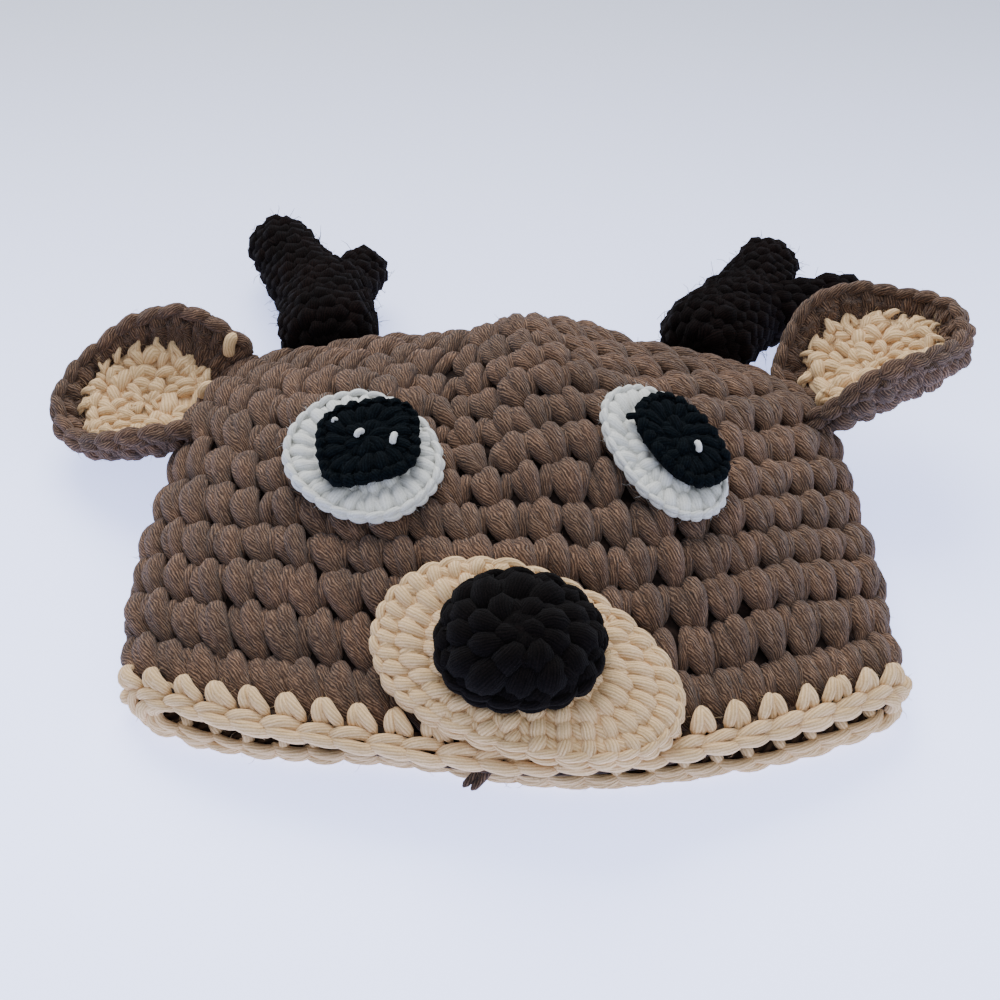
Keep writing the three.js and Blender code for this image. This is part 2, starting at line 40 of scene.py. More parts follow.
# Camera: the photograph's angle above the floor
ELEVATION = math.radians(43.0)
DISTANCE = 0.480
TARGET = Vector((-0.0025, 0.0, 0.015))
VIEW = Vector((0.0, math.cos(ELEVATION), -math.sin(ELEVATION)))
camera_data = bpy.data.cameras.new("camera")
camera_data.lens = 67.46
camera_data.sensor_width = 36.0
camera_data.clip_start = 0.02
camera_data.clip_end = 30.0
camera = bpy.data.objects.new("camera", camera_data)
bpy.context.scene.collection.objects.link(camera)
camera.location = TARGET - VIEW * DISTANCE
camera.rotation_euler = VIEW.to_track_quat("-Z", "Y").to_euler()
bpy.context.scene.camera = camera

# Crown surface, in millimetres
HAT_WIDTH, HAT_LENGTH, HAT_HEIGHT, BRIM_AT = 188.0, 150.0, 47.0, -79.0
FULLNESS, SQUARENESS, SPREAD = 2.4, 6.0, 1.15
# Columns: at, left, right, left_y, right_y, front_y, back_y, top, fold, under, bow. Left and right are shares
# of HAT_WIDTH, the places along y shares of HAT_LENGTH, and top, fold and under shares of HAT_HEIGHT
SECTIONS = np.array([
    (-0.12, 0.457, 0.48, 0.015, 0.022, -0.16, -0.1, 0.395, 0.2, 0, 2.1),
    (0.0, 0.483, 0.494, 0.147, 0.153, -0.028, 0.034, 0.45, 0.2, 0, 2.0),
    (0.1, 0.502, 0.498, 0.28, 0.273, 0.09, 0.135, 0.575, 0.2, 0, 1.9),
    (0.2, 0.502, 0.492, 0.413, 0.393, 0.2, 0.231, 0.732, 0.2, 0, 1.75),
    (0.3, 0.488, 0.48, 0.547, 0.513, 0.3, 0.328, 0.843, 0.2, 0, 1.6),
    (0.4, 0.472, 0.47, 0.68, 0.633, 0.403, 0.425, 0.93, 0.205, 0, 1.45),
    (0.5, 0.448, 0.453, 0.81, 0.751, 0.509, 0.521, 0.979, 0.215, 0, 1.35),
    (0.6, 0.388, 0.404, 0.919, 0.851, 0.615, 0.618, 0.975, 0.225, 0, 1.25),
    (0.7, 0.29, 0.314, 0.957, 0.884, 0.72, 0.715, 0.919, 0.245, 0, 1.15),
    (0.8, 0.181, 0.219, 0.957, 0.907, 0.82, 0.811, 0.802, 0.26, 0, 1.08),
    (0.9, 0.074, 0.126, 0.953, 0.929, 0.904, 0.907, 0.596, 0.28, 0.05, 1.0),
    (1.0, -0.032, 0.032, 0.953, 0.953, 0.953, 0.953, 0.3, 0.3, 0.3, 1.0),
])
# Columns: x, y, reach_x, reach_y, rise, as the same shares
FOLDS = [(0.045, 0.7, 0.085, 0.24, 0.115), (-0.075, 0.6, 0.06, 0.2, -0.11),
         (-0.24, 0.5, 0.12, 0.2, 0.03), (0.24, 0.56, 0.12, 0.2, 0.03)]
# Columns: front, x, reach, shift of the brim's waves
WAVES = [(True, -0.2, 0.17, 0.02), (False, -0.17, 0.18, 0.04)]
WAVE_END = 0.35


def smooth(x, a, b):
    t = np.clip((np.asarray(x, float) - a) / (b - a), 0, 1)
    return t * t * (3 - 2 * t)


def unit(v):
    return v / np.maximum(np.linalg.norm(v, axis=-1, keepdims=True), 1e-9)


def travelled(steps):
    """Distances from the start, with 0 in front."""
    return np.concatenate([[0], np.cumsum(steps)])


def spread_out(u0, u1, rows, columns):
    """Rows from u0 to u1, and columns all round."""
    return np.meshgrid(np.linspace(u0, u1, rows), np.arange(columns) / columns, indexing="ij")


def catmull(t, v, x):
    """A smooth curve through the values v at the stations t, read at x."""
    i = np.clip(np.searchsorted(t, x, side="right") - 1, 0, len(t) - 2)
    b, a = np.maximum(i - 1, 0), np.minimum(i + 2, len(t) - 1)
    step = t[i + 1] - t[i]
    f = (x - t[i]) / step
    lo = (v[i + 1] - v[b]) / (t[i + 1] - t[b]) * step
    hi = (v[a] - v[i]) / (t[a] - t[i]) * step
    f2, f3 = f * f, f * f * f
    start, end = v[i] * (2 * f3 - 3 * f2 + 1), v[i + 1] * (3 * f2 - 2 * f3)
    return start + lo * (f3 - 2 * f2 + f) + end + hi * (f3 - f2)


def read(table, col, at):
    return catmull(table[:, 0], table[:, col], np.asarray(at, float))


def section(at):
    """The crown's section at a share of its length: m middle and h half of its width, sy and ss the sides'
    place and slant along y, fy and by the places of front and back, T, F and U the heights of top, fold and
    underside, k the bow and w how much of the brim's waves."""
    columns = [read(SECTIONS, c, at) for c in range(1, SECTIONS.shape[1])]
    left, right, left_y, right_y, front_y, back_y, top, fold, under, bow = columns
    left, right = -left * HAT_WIDTH, right * HAT_WIDTH
    return dict(m=(left + right) / 2, h=(right - left) / 2, sy=BRIM_AT + (left_y + right_y) / 2 * HAT_LENGTH,
                ss=(right_y - left_y) / 2 * HAT_LENGTH, fy=BRIM_AT + front_y * HAT_LENGTH,
                by=BRIM_AT + back_y * HAT_LENGTH, T=top * HAT_HEIGHT, F=fold * HAT_HEIGHT,
                U=np.maximum(0, under) * HAT_HEIGHT, k=bow, w=1 - smooth(at, 0, WAVE_END))


def fold_rise(x, y):
    z = 0
    for fx, fy, rx, ry, rise in FOLDS:
        z = z + rise * HAT_HEIGHT * np.exp(-((x - fx * HAT_WIDTH) / (rx * HAT_WIDTH)) ** 2
                                           - ((y - BRIM_AT - fy * HAT_LENGTH) / (ry * HAT_LENGTH)) ** 2)
    return z


def wave(front, x):
    z = 0
    for fr, wx, reach, shift in WAVES:
        bell = np.exp(-((x - wx * HAT_WIDTH) / (reach * HAT_WIDTH)) ** 2)
        z = z + (np.asarray(front) == fr) * shift * HAT_LENGTH * bell
    return z


def section_point(s, a):
    """The point of a section at the angle a: the front from 0 to pi, then the back."""
    c, n, front = np.cos(a), np.abs(np.sin(a)), np.sin(a) >= 0
    x = s["m"] + s["h"] * c
    side = s["sy"] + s["ss"] * c
    y = side + (np.where(front, s["fy"], s["by"]) - side) * n ** s["k"] + s["w"] * wave(front, x) * n
    zf = s["F"] + (s["T"] - s["F"]) * n ** (2 / FULLNESS) + fold_rise(x, y) * n
    zb = s["F"] + (s["U"] - s["F"]) * np.minimum(1, SPREAD * n ** (2 / SQUARENESS))
    return np.stack(np.broadcast_arrays(x, y, np.where(front, zf, zb)), -1)


def front_height(x, y):
    """The height of the crown's front over a place, found by halving."""
    x, y = np.broadcast_arrays(np.asarray(x, float), np.asarray(y, float))
    lo, hi = np.full(x.shape, -0.3), np.ones(x.shape)
    for _ in range(30):
        at = (lo + hi) / 2
        s = section(at)
        c = (x - s["m"]) / np.maximum(1e-6, s["h"])
        inside = np.abs(c) < 0.9995
        n = np.where(inside, np.sqrt(np.maximum(0, 1 - c * c)), 0)
        side = s["sy"] + s["ss"] * c
        row = side + (s["fy"] - side) * n ** s["k"] + s["w"] * wave(True, x) * n
        up = (~inside) | (row > y)
        hi, lo = np.where(up, at, hi), np.where(up, lo, at)
    s = section(lo)
    return section_point(s, np.arccos(np.clip((x - s["m"]) / s["h"], -1, 1)))[..., 2]


def front_point(x, y, lift):
    """A point at lift millimetres from the crown's front, along its normal."""
    step = 1.5
    sx = (front_height(x + step, y) - front_height(x - step, y)) / (2 * step)
    sy = (front_height(x, y + step) - front_height(x, y - step)) / (2 * step)
    n = np.stack([-sx, -sy, np.ones_like(sx)], -1)
    n /= np.linalg.norm(n, axis=-1, keepdims=True)
    return np.stack(np.broadcast_arrays(x, y, front_height(x, y)), -1) + n * np.asarray(lift)[..., None]


# Surfaces sampled on a grid
class Surface:
    """P[i, j] over u = i/(nu-1), v = j/nv, with normals; v wraps round."""

    def __init__(self, P, flip=False):
        self.P = P
        dv = np.roll(P, -1, 1) - np.roll(P, 1, 1)
        du = np.gradient(P, axis=0)
        n = np.cross(dv, du)
        size = np.linalg.norm(n, axis=-1, keepdims=True)
        n = n / np.maximum(size, 1e-9)
        for i in range(1, len(P)):
            weak = size[i, :, 0] < 1e-7
            n[i][weak] = n[i - 1][weak]
        for i in range(len(P) - 2, -1, -1):
            weak = size[i, :, 0] < 1e-7
            n[i][weak] = n[i + 1][weak]
        self.N = -n if flip else n

    def at(self, u, v, lift):
        """Points lift millimetres over the surface; past its ends it goes on straight."""
        u, v = np.broadcast_arrays(np.asarray(u, float), np.asarray(v, float))
        nu, nv = self.P.shape[:2]
        fu = np.clip(u, 0, 1) * (nu - 1)
        i = np.clip(fu.astype(int), 0, nu - 2)
        a = (fu - i)[..., None]
        fv = (v % 1.0) * nv
        j = fv.astype(int) % nv
        k = (j + 1) % nv
        b = (fv - np.floor(fv))[..., None]
        mix = lambda G: (G[i, j] * (1 - a) * (1 - b) + G[i + 1, j] * a * (1 - b)
                         + G[i, k] * (1 - a) * b + G[i + 1, k] * a * b)
        P, N = mix(self.P), mix(self.N)
        out = (u - np.clip(u, 0, 1))
        if np.any(out != 0):
            first, last = self.P[1] - self.P[0], self.P[-1] - self.P[-2]
            slope = np.where((out < 0)[..., None], first[j] * (nu - 1), last[j] * (nu - 1))
            P = P + slope * out[..., None]
        return P + unit(N) * np.asarray(lift)[..., None]

    def girth(self, u):
        """The length round the surface at u, in millimetres."""
        v = np.linspace(0, 1, 361)
        p = self.at(u, v, 0)
        return np.linalg.norm(np.diff(p, axis=0), axis=1).sum()


ROUND_STEPS = 1441


def even_angles(point_at, count):
    """Angles at even distances round a closed line, which point_at gives for an array of angles."""
    a = np.linspace(0, 2 * math.pi, ROUND_STEPS)
    length = travelled(np.linalg.norm(np.diff(point_at(a), axis=0), axis=1))
    return np.interp(np.arange(count) / count * length[-1], length, a)


def even_ring(at, count):
    s = section(at)
    return section_point(s, even_angles(lambda a: section_point(s, a), count))


RING_POINTS = 480
CROWN = Surface(np.array([even_ring(at, RING_POINTS) for at in np.linspace(0, 0.995, 200)]), flip=True)

# Width of one ply of yarn, in millimetres
PLY = 0.8


def cell_corners(k, s, rows=1.0, columns=1.0):
    """The corners of the grid cells (k, s), as shares of the rows and columns."""
    k0, k1, s0, s1 = k / rows, (k + 1) / rows, s / columns, (s + 1) / columns
    return np.stack([np.stack(pair, -1) for pair in ((k0, s0), (k0, s1), (k1, s1), (k1, s0))], -2)


# Yarn map of a skin: millimetres along and plies round for each cell
SKIN_GRAIN = np.array([1.2, 0.5])
CAP_CORNER = 0.001
BAKE_INSET = 0.06
FLOOR_GAP = 0.00002


class Yarn:
    """Collects tubes into one mesh, with a map that runs along and round the yarn and one map to bake on."""

    def __init__(self):
        self.co, self.faces, self.yarn_uv, self.cell, self.count, self.tubes = [], [], [], [], 0, 0
        self.ring_places = []

    def tubes_from(self, rings, phase, loose=False):
        """rings: (tubes, K, S, 3) points in millimetres. Adds closed tubes with capped ends."""
        middle = rings[:, rings.shape[1] // 2]
        fat = np.linalg.norm(middle - middle.mean(1, keepdims=True), axis=-1)
        plies = max(3, int(round(2 * math.pi * fat.mean() / PLY)))
        T, K, S, _ = rings.shape
        if not loose:
            mid = rings[:, 1:-1]
            out = unit(mid - mid.mean(2, keepdims=True))
            self.ring_places.append((mid.reshape(-1, 3), out.reshape(-1, 3)))
        ends = np.stack([rings[:, 0].mean(1), rings[:, -1].mean(1)], 1)
        block = np.concatenate([rings.reshape(T, K * S, 3), ends], 1)
        k, s = np.meshgrid(np.arange(K - 1), np.arange(S), indexing="ij")
        n = (s + 1) % S
        a, b, c, d = k * S + s, k * S + n, (k + 1) * S + n, (k + 1) * S + s
        quads = np.stack([a, b, c, d], -1).reshape(-1, 4)
        s = np.arange(S)
        n = (s + 1) % S
        cap0 = np.stack([np.full(S, K * S), n, s], -1)
        cap1 = np.stack([np.full(S, K * S + 1), (K - 1) * S + s, (K - 1) * S + n], -1)
        centre = rings.mean(2)
        steps = np.linalg.norm(np.diff(centre, axis=1), axis=-1)
        along = np.concatenate([np.zeros((T, 1)), np.cumsum(steps, 1)], 1)
        base = self.count + np.arange(T)[:, None, None] * (K * S + 2)
        U = along[:, k] + phase[:, None, None]
        U1 = along[:, k + 1] + phase[:, None, None]
        V = np.broadcast_to(np.arange(S) / S, U.shape) * plies
        V1 = V + plies / S
        corners = [np.stack(pair, -1) for pair in ((U, V), (U, V1), (U1, V1), (U1, V))]
        uvq = np.stack(corners, -2)
        bq = cell_corners(k, np.arange(S) + 0 * k, K - 1, S)
        self.co.append(block.reshape(-1, 3))
        self.faces.append((quads[None] + base).reshape(-1, 4))
        self.yarn_uv.append(uvq.reshape(-1, 2))
        ids = self.tubes + np.arange(T)
        loops = quads.shape[0] * 4
        where = np.broadcast_to(bq.reshape(1, -1, 2), (T, loops, 2))
        self.cell.append((np.repeat(ids, loops), where.reshape(-1, 2)))
        for cap, at, end in ((cap0, along[:, :1], 0.0), (cap1, along[:, -1:], 1.0)):
            self.faces.append((cap[None] + base).reshape(-1, 3))
            u = np.broadcast_to((at + phase[:, None])[:, :, None], (T, S, 3))
            fan = np.stack([(s + 0.5) / S, (s + 0.0) / S, (s + 1.0) / S], -1)
            around = np.broadcast_to(fan[None], (T, S, 3)) * plies
            self.yarn_uv.append(np.stack([u, around], -1).reshape(-1, 2))
            where = np.broadcast_to(np.stack([np.full((S, 3), end), fan], -1)[None], (T, S, 3, 2))
            self.cell.append((np.repeat(ids, S * 3), where.reshape(-1, 2)))
        self.count += T * (K * S + 2)
        self.tubes += T

    def sheet(self, P, ring=False):
        """Adds a closed skin from a grid whose columns wrap. Its rows wrap too in a ring, or end in caps."""
        R, S, _ = P.shape
        cells = R if ring else R - 1
        k, s = np.meshgrid(np.arange(cells), np.arange(S), indexing="ij")
        n, m = (s + 1) % S, (k + 1) % R
        quads = np.stack([k * S + s, k * S + n, m * S + n, m * S + s], -1).reshape(-1, 4)
        uv = cell_corners(k, s)
        self.co.append(P.reshape(-1, 3))
        self.faces.append(quads + self.count)
        self.yarn_uv.append((uv * SKIN_GRAIN).reshape(-1, 2))
        self.cell.append((np.full(len(quads) * 4, self.tubes), (uv / np.array([cells, S])).reshape(-1, 2)))
        for cap in () if ring else (np.arange(S)[::-1], (R - 1) * S + np.arange(S)):
            self.faces.append((cap + self.count)[None])
            self.yarn_uv.append(np.zeros((S, 2)))
            self.cell.append((np.full(S, self.tubes), np.full((S, 2), CAP_CORNER)))
        self.count += R * S
        self.tubes += 1

    def build(self, name, material, nodes=()):
        co = np.concatenate(self.co) / 1000.0
        co[:, 2] = np.maximum(co[:, 2], FLOOR_GAP)
        me = bpy.data.meshes.new(name)
        sizes = np.concatenate([np.full(len(f), f.shape[1]) for f in self.faces])
        loops = np.concatenate([f.reshape(-1) for f in self.faces])
        starts = np.concatenate([[0], np.cumsum(sizes)[:-1]])
        me.vertices.add(len(co))
        me.vertices.foreach_set("co", co.astype(np.float32).reshape(-1))
        me.loops.add(len(loops))
        me.loops.foreach_set("vertex_index", loops.astype(np.int32))
        me.polygons.add(len(sizes))
        me.polygons.foreach_set("loop_start", starts.astype(np.int32))
        me.polygons.foreach_set("use_smooth", np.ones(len(sizes), bool))
        me.update(calc_edges=True)
        uv = me.uv_layers.new(name="Yarn")
        uv.data.foreach_set("uv", np.concatenate(self.yarn_uv).astype(np.float32).reshape(-1))
        side = max(1, math.ceil(math.sqrt(self.tubes)))
        ids = np.concatenate([c[0] for c in self.cell])
        where = np.concatenate([c[1] for c in self.cell])
        bake = (np.stack([ids % side, ids // side], -1) + BAKE_INSET + where * (1 - 2 * BAKE_INSET)) / side
        uv = me.uv_layers.new(name="OFBake")
        uv.data.foreach_set("uv", bake.astype(np.float32).reshape(-1))
        me.materials.append(material)
        me.validate()
        obj = bpy.data.objects.new(name, me)
        bpy.context.scene.collection.objects.link(obj)
        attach(obj, "root")
        if nodes:
            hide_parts(*nodes)
        return obj


def fuzz(yarn, count, length, thin=0.045):
    """Loose fibres that stand off the tubes gathered so far."""
    spots = np.concatenate([r[0] for r in yarn.ring_places])
    outs = np.concatenate([r[1] for r in yarn.ring_places])
    pick = rng.integers(0, len(spots), count)
    start, out = spots[pick], outs[pick]
    lean = rng.normal(0, 1, (count, 3))
    lean = unit(lean - out * (lean * out).sum(-1, keepdims=True))
    size = length * rng.uniform(0.35, 1.0, (count, 1))
    curl = rng.normal(0, 0.45, (count, 3))
    points = np.stack([start - out * 0.15, start + out * size * 0.5 + lean * size * 0.35 + curl * size * 0.1,
                       start + out * size * 0.62 + lean * size * 0.9 + curl * size * 0.5], 1)
    radius = np.broadcast_to(np.array([1.0, 0.85, 0.5]) * thin, (count, 3))
    yarn.tubes_from(sweep(points, radius, 3), rng.uniform(0, 40, count), loose=True)


def tube_template(path, radii, K):
    """Centre line and radii of a loop, in stitch units: path rows are (across, along, height)."""
    path, radii = np.array(path, float), np.array(radii, float)
    t = np.linspace(0, 1, len(path))
    fine = np.linspace(0, 1, K)
    spl = np.stack([catmull(t, path[:, i], fine) for i in range(3)], -1)
    rad = catmull(t, radii, fine)
    ends = np.minimum(1, np.minimum(fine, 1 - fine) / 0.16)
    rad = rad * np.sqrt(np.maximum(0.1, 1 - (1 - ends) ** 2))
    return spl, rad


def sweep(points, radius, S):
    """points (T, K, 3) in millimetres, radius (T, K). Returns rings (T, K, S, 3) by parallel frames."""
    tan = unit(np.gradient(points, axis=1))
    T, K, _ = points.shape
    ref = np.zeros((T, 3))
    ref[:, 2] = 1.0
    first = tan[:, 0]
    side = np.cross(first, ref)
    weak = np.linalg.norm(side, axis=-1) < 0.2
    side[weak] = np.cross(first[weak], np.array([1.0, 0, 0]))
    frames = []
    for k in range(K):
        side = unit(side - tan[:, k] * (side * tan[:, k]).sum(-1, keepdims=True))
        frames.append(side)
    side = np.stack(frames, 1)
    up = np.cross(side, tan)
    ang = np.arange(S) / S * 2 * math.pi
    cos, sin = np.cos(ang)[None, None, :, None], np.sin(ang)[None, None, :, None]
    ring = side[:, :, None] * cos + up[:, :, None] * sin
    return points[:, :, None] + ring * radius[:, :, None, None]


# Legs of a stitch: (across, along, height) in units of stitch width, row height and stitch width, then radii
MAIN_LEG = ([(-0.33, 1.12, -0.26), (-0.31, 0.95, 0.05), (-0.22, 0.7, 0.2),
             (-0.06, 0.4, 0.17), (0.08, 0.08, 0.02), (0.16, -0.18, -0.32)],
            [0.2, 0.31, 0.345, 0.315, 0.25, 0.14])
SIDE_LEG = ([(0.42, 1.1, -0.28), (0.42, 0.95, 0.0), (0.37, 0.72, 0.13),
             (0.29, 0.42, 0.08), (0.22, 0.16, -0.1), (0.18, -0.04, -0.34)],
            [0.16, 0.25, 0.28, 0.245, 0.18, 0.11])
FAN_LEFT = ([(-0.42, 1.06, -0.26), (-0.43, 0.86, 0.04), (-0.36, 0.58, 0.16),
             (-0.18, 0.28, 0.13), (0.05, 0.04, 0.0), (0.2, -0.18, -0.32)],
            [0.17, 0.245, 0.27, 0.245, 0.175, 0.09])
FAN_MIDDLE = ([(-0.12, 1.14, -0.24), (-0.12, 0.98, 0.08), (-0.06, 0.72, 0.23),
               (0.03, 0.4, 0.2), (0.13, 0.08, 0.04), (0.21, -0.2, -0.3)],
              [0.18, 0.25, 0.275, 0.25, 0.18, 0.09])
FAN_RIGHT = ([(0.34, 1.12, -0.28), (0.36, 0.95, 0.0), (0.35, 0.7, 0.13),
              (0.3, 0.42, 0.08), (0.25, 0.16, -0.1), (0.21, -0.04, -0.34)],
             [0.15, 0.215, 0.235, 0.205, 0.14, 0.08])

# Stitches: their legs, each with its rings along and its sides
FAN = ((FAN_LEFT, 11, 9), (FAN_MIDDLE, 11, 9), (FAN_RIGHT, 9, 8))
FAN_SMALL = ((FAN_LEFT, 9, 8), (FAN_MIDDLE, 9, 8), (FAN_RIGHT, 8, 7))
FAN_COARSE = ((FAN_LEFT, 8, 6), (FAN_MIDDLE, 8, 6), (FAN_RIGHT, 7, 6))
SMALL = ((MAIN_LEG, 9, 8), (SIDE_LEG, 7, 7))
TINY = ((MAIN_LEG, 7, 6), (SIDE_LEG, 6, 6))


# Millimetres of lift for each unit of sway
UNEVEN_LIFT = 90


def uneven(u, turn, sway):
    """How far a round of stitches strays from its even place, as a share of the surface."""
    waves = np.sin(3 * turn + 9 * u) + 0.6 * np.sin(7 * turn - 14 * u) + 0.4 * np.sin(13 * turn + 5 * u)
    return sway * waves * smooth(u, 0.05, 0.25)


def stitch_rows(yarn, surf, rows, legs, sink=0.0, fat=1.0, keep=None, mirror=False, jitter=0.05, sway=0.0,
                spin=0.0):
    """rows: list of (u0, u1, count, offset). Lays one loop of each leg per place on the surface.
    sink lifts them, fat thickens the yarn, and jitter, sway and spin make them uneven."""
    for u0, u1, count, offset in rows:
        v0 = (np.arange(count) + offset) / count
        mid = (u0 + u1) / 2
        width = surf.girth(np.clip(mid, 0, 1)) / count
        if keep is not None:
            v0 = v0[keep(surf.at(mid, v0, 0))]
        if not len(v0):
            continue
        T = len(v0)
        turned = rng.normal(0, spin, (T, 1)) if spin else np.zeros((T, 1))
        for (path, radii), K, S in legs:
            spl, rad = tube_template(path, radii, K)
            j = rng.normal(0, jitter, (T, 1, 3))
            grow = 1 + rng.normal(0, jitter * 0.8, (T, 1))
            a = (spl[None, :, 0] * (-1 if mirror else 1) + j[..., 0] * 0.6)
            b = spl[None, :, 1] + j[..., 1] * 0.5 - 0.5
            c = spl[None, :, 2] + j[..., 2] * 0.5
            a, b = a * np.cos(turned) - b * np.sin(turned), 0.5 + b * np.cos(turned) + a * np.sin(turned)
            u = u0 + (u1 - u0) * b
            v = v0[:, None] + a / count
            turn = 2 * math.pi * v
            u = u + uneven(u, turn, sway)
            swell = UNEVEN_LIFT * sway * np.sin(5 * turn + 11 * u) * np.sin(2 * turn - 23 * u)
            rings = sweep(surf.at(u, v, c * width + sink + swell), rad[None] * width * grow * fat, S)
            yarn.tubes_from(rings, rng.uniform(0, 40, T))


# Materials
def linear(rgb):
    """A colour of 0 to 255 as the renderer's linear one."""
    shares = [c / 255 for c in rgb]
    return tuple(c / 12.92 if c <= 0.04045 else ((c + 0.055) / 1.055) ** 2.4 for c in shares) + (1.0,)


def new_node(tree, kind, **settings):
    made = tree.nodes.new(kind)
    for key, value in settings.items():
        setattr(made, key, value)
    return made


def maths(tree, operation, a, b=0.0):
    made = tree.nodes.new("ShaderNodeMath")
    made.operation = operation
    for i, value in enumerate((a, b)):
        if isinstance(value, (int, float)):
            made.inputs[i].default_value = value
        else:
            tree.links.new(value, made.inputs[i])
    return made.outputs[0]


def noise(tree, vector, scale, detail, roughness=0.5):
    made = new_node(tree, "ShaderNodeTexNoise")
    for name, value in (("Scale", scale), ("Detail", detail), ("Roughness", roughness)):
        made.inputs[name].default_value = value
    tree.links.new(vector, made.inputs["Vector"])
    return made.outputs["Fac"]


def ramp(tree, value, stops):
    """A colour ramp through stops of (position, colour)."""
    made = new_node(tree, "ShaderNodeValToRGB")
    elements = made.color_ramp.elements
    for element, (position, colour) in zip((elements[0], elements[1]), (stops[0], stops[-1])):
        element.position = position
        element.color = colour
    for position, colour in stops[1:-1]:
        elements.new(position).color = colour
    tree.links.new(value, made.inputs[0])
    return made.outputs[0]


def yarn_material(name, dark, mid, light, pitch=3.0, strength=0.85, depth=0.0003, sheen=0.0, tint=None,
                  spec=0.15, wobble=0.8, grain=2.6, weights=(0.26, 0.56, 0.3), spread=(0.25, 0.52, 0.83)):
    """Twisted yarn: plies slanted across the tube, streaks along them, fine hair, and patches of tint.
    pitch is one twist in millimetres, weights mix plies, streaks and hair, and spread places the colours."""
    m = bpy.data.materials.new(name)
    m.use_nodes = True
    tree, link = m.node_tree, m.node_tree.links.new
    tree.nodes.clear()
    do = lambda operation, a, b=0.0: maths(tree, operation, a, b)
    out = new_node(tree, "ShaderNodeOutputMaterial")
    bsdf = new_node(tree, "ShaderNodeBsdfPrincipled")
    link(bsdf.outputs[0], out.inputs[0])
    split = new_node(tree, "ShaderNodeSeparateXYZ")
    link(new_node(tree, "ShaderNodeUVMap", uv_map="Yarn").outputs[0], split.inputs[0])
    place = new_node(tree, "ShaderNodeTexCoord").outputs["Object"]
    along = do("MULTIPLY", split.outputs[0], 1.0 / pitch)
    slant = do("SUBTRACT", along, split.outputs[1])
    slant = do("ADD", slant, do("MULTIPLY", noise(tree, place, 380.0, 3.0), wobble))
    wave_ = do("SINE", do("MULTIPLY", slant, 2 * math.pi))
    ply = do("ADD", do("MULTIPLY", wave_, 0.5), 0.5)
    lay = new_node(tree, "ShaderNodeCombineXYZ")
    link(do("MULTIPLY", slant, grain), lay.inputs[0])
    link(do("MULTIPLY", do("ADD", along, split.outputs[1]), 0.22), lay.inputs[1])
    layers = (ply, noise(tree, lay.outputs[0], 1.5, 4.0, 0.62), noise(tree, place, 2600.0, 3.0))
    plies, streaks, hair = (do("MULTIPLY", layer, weight) for layer, weight in zip(layers, weights))
    mixed = do("ADD", do("ADD", plies, streaks), hair)
    colour = ramp(tree, mixed, list(zip(spread, (linear(dark), linear(mid), linear(light)))))
    if tint:
        patches = noise(tree, place, 95.0, 3.0)
        mix = new_node(tree, "ShaderNodeMix", data_type="RGBA", blend_type="MULTIPLY")
        mix.inputs[0].default_value = 1.0
        link(colour, mix.inputs[6])
        link(ramp(tree, patches, [(0.38, (*tint[0], 1)), (0.64, (*tint[1], 1))]), mix.inputs[7])
        colour = mix.outputs[2]
    link(colour, bsdf.inputs["Base Color"])
    bump = new_node(tree, "ShaderNodeBump")
    bump.inputs["Strength"].default_value = strength
    bump.inputs["Distance"].default_value = depth
    link(mixed, bump.inputs["Height"])
    link(bump.outputs[0], bsdf.inputs["Normal"])
    for socket, value in (("Roughness", 0.95), ("Specular IOR Level", spec), ("Sheen Weight", sheen),
                          ("Sheen Roughness", 0.5)):
        bsdf.inputs[socket].default_value = value
    return m


BROWN = yarn_material("brown_yarn", (17, 11, 8), (82, 61, 48), (180, 147, 119), pitch=1.5, strength=1.0,
                      depth=0.0007, sheen=0.12, tint=((0.84, 0.83, 0.82), (1.14, 1.06, 1.0)), wobble=2.0,
                      grain=2.0, weights=(0.2, 0.86, 0.22), spread=(0.33, 0.62, 0.95))
TAN = yarn_material("tan_yarn", (160, 120, 76), (214, 180, 132), (250, 221, 176), pitch=3.2, strength=0.8,
                    depth=0.0005, sheen=0.15, tint=((0.92, 0.89, 0.85), (1.04, 1.01, 1.0)),
                    weights=(0.22, 0.6, 0.36))
ANTLER = yarn_material("antler_yarn", (2, 1, 1), (10, 7, 7), (30, 21, 19), pitch=1.8, sheen=0.02, spec=0.03,
                       depth=0.0005, tint=((0.8, 0.8, 0.8), (1.25, 1.05, 1.0)), weights=(0.14, 0.5, 0.5))
NOSE = yarn_material("nose_yarn", (1, 1, 1), (7, 5, 5), (24, 18, 17), sheen=0.03, spec=0.05,
                     weights=(0.14, 0.5, 0.5), depth=0.0005)
WHITE = yarn_material("white_yarn", (160, 161, 156), (207, 207, 201), (234, 234, 227), strength=0.5, sheen=0.1,
                      weights=(0.14, 0.5, 0.5))
BLACK = yarn_material("black_yarn", (1, 2, 3), (7, 11, 14), (24, 31, 36), sheen=0.01, spec=0.03,
                      weights=(0.12, 0.46, 0.56))
# Painted shade: the crown's inside, darker than the brown yarn, stands in for the shade between the stitches
INNER_SHADE = yarn_material("inner_shade_yarn", (10, 6, 5), (32, 23, 19), (58, 44, 37), pitch=1.5)
# Painted shade: the hem's core, darker than the brown yarn, stands in for the shade in the gaps between the
# hem's stitches
CORE_SHADE = yarn_material("hem_core_shade_yarn", (12, 8, 6), (40, 29, 22), (84, 64, 48))


def stray(yarn, points, radius, S=10, K=16):
    """One loose strand through points in millimetres."""
    points = np.array(points, float)
    t = np.linspace(0, 1, len(points))
    fine = np.linspace(0, 1, K)
    line = np.stack([catmull(t, points[:, i], fine) for i in range(3)], -1)[None]
    ends = np.minimum(1, np.minimum(fine, 1 - fine) / 0.12)
    r = radius * np.sqrt(np.maximum(0.08, 1 - (1 - ends) ** 2))
    yarn.tubes_from(sweep(line, np.broadcast_to(r, (1, K)), S), rng.uniform(0, 40, 1))


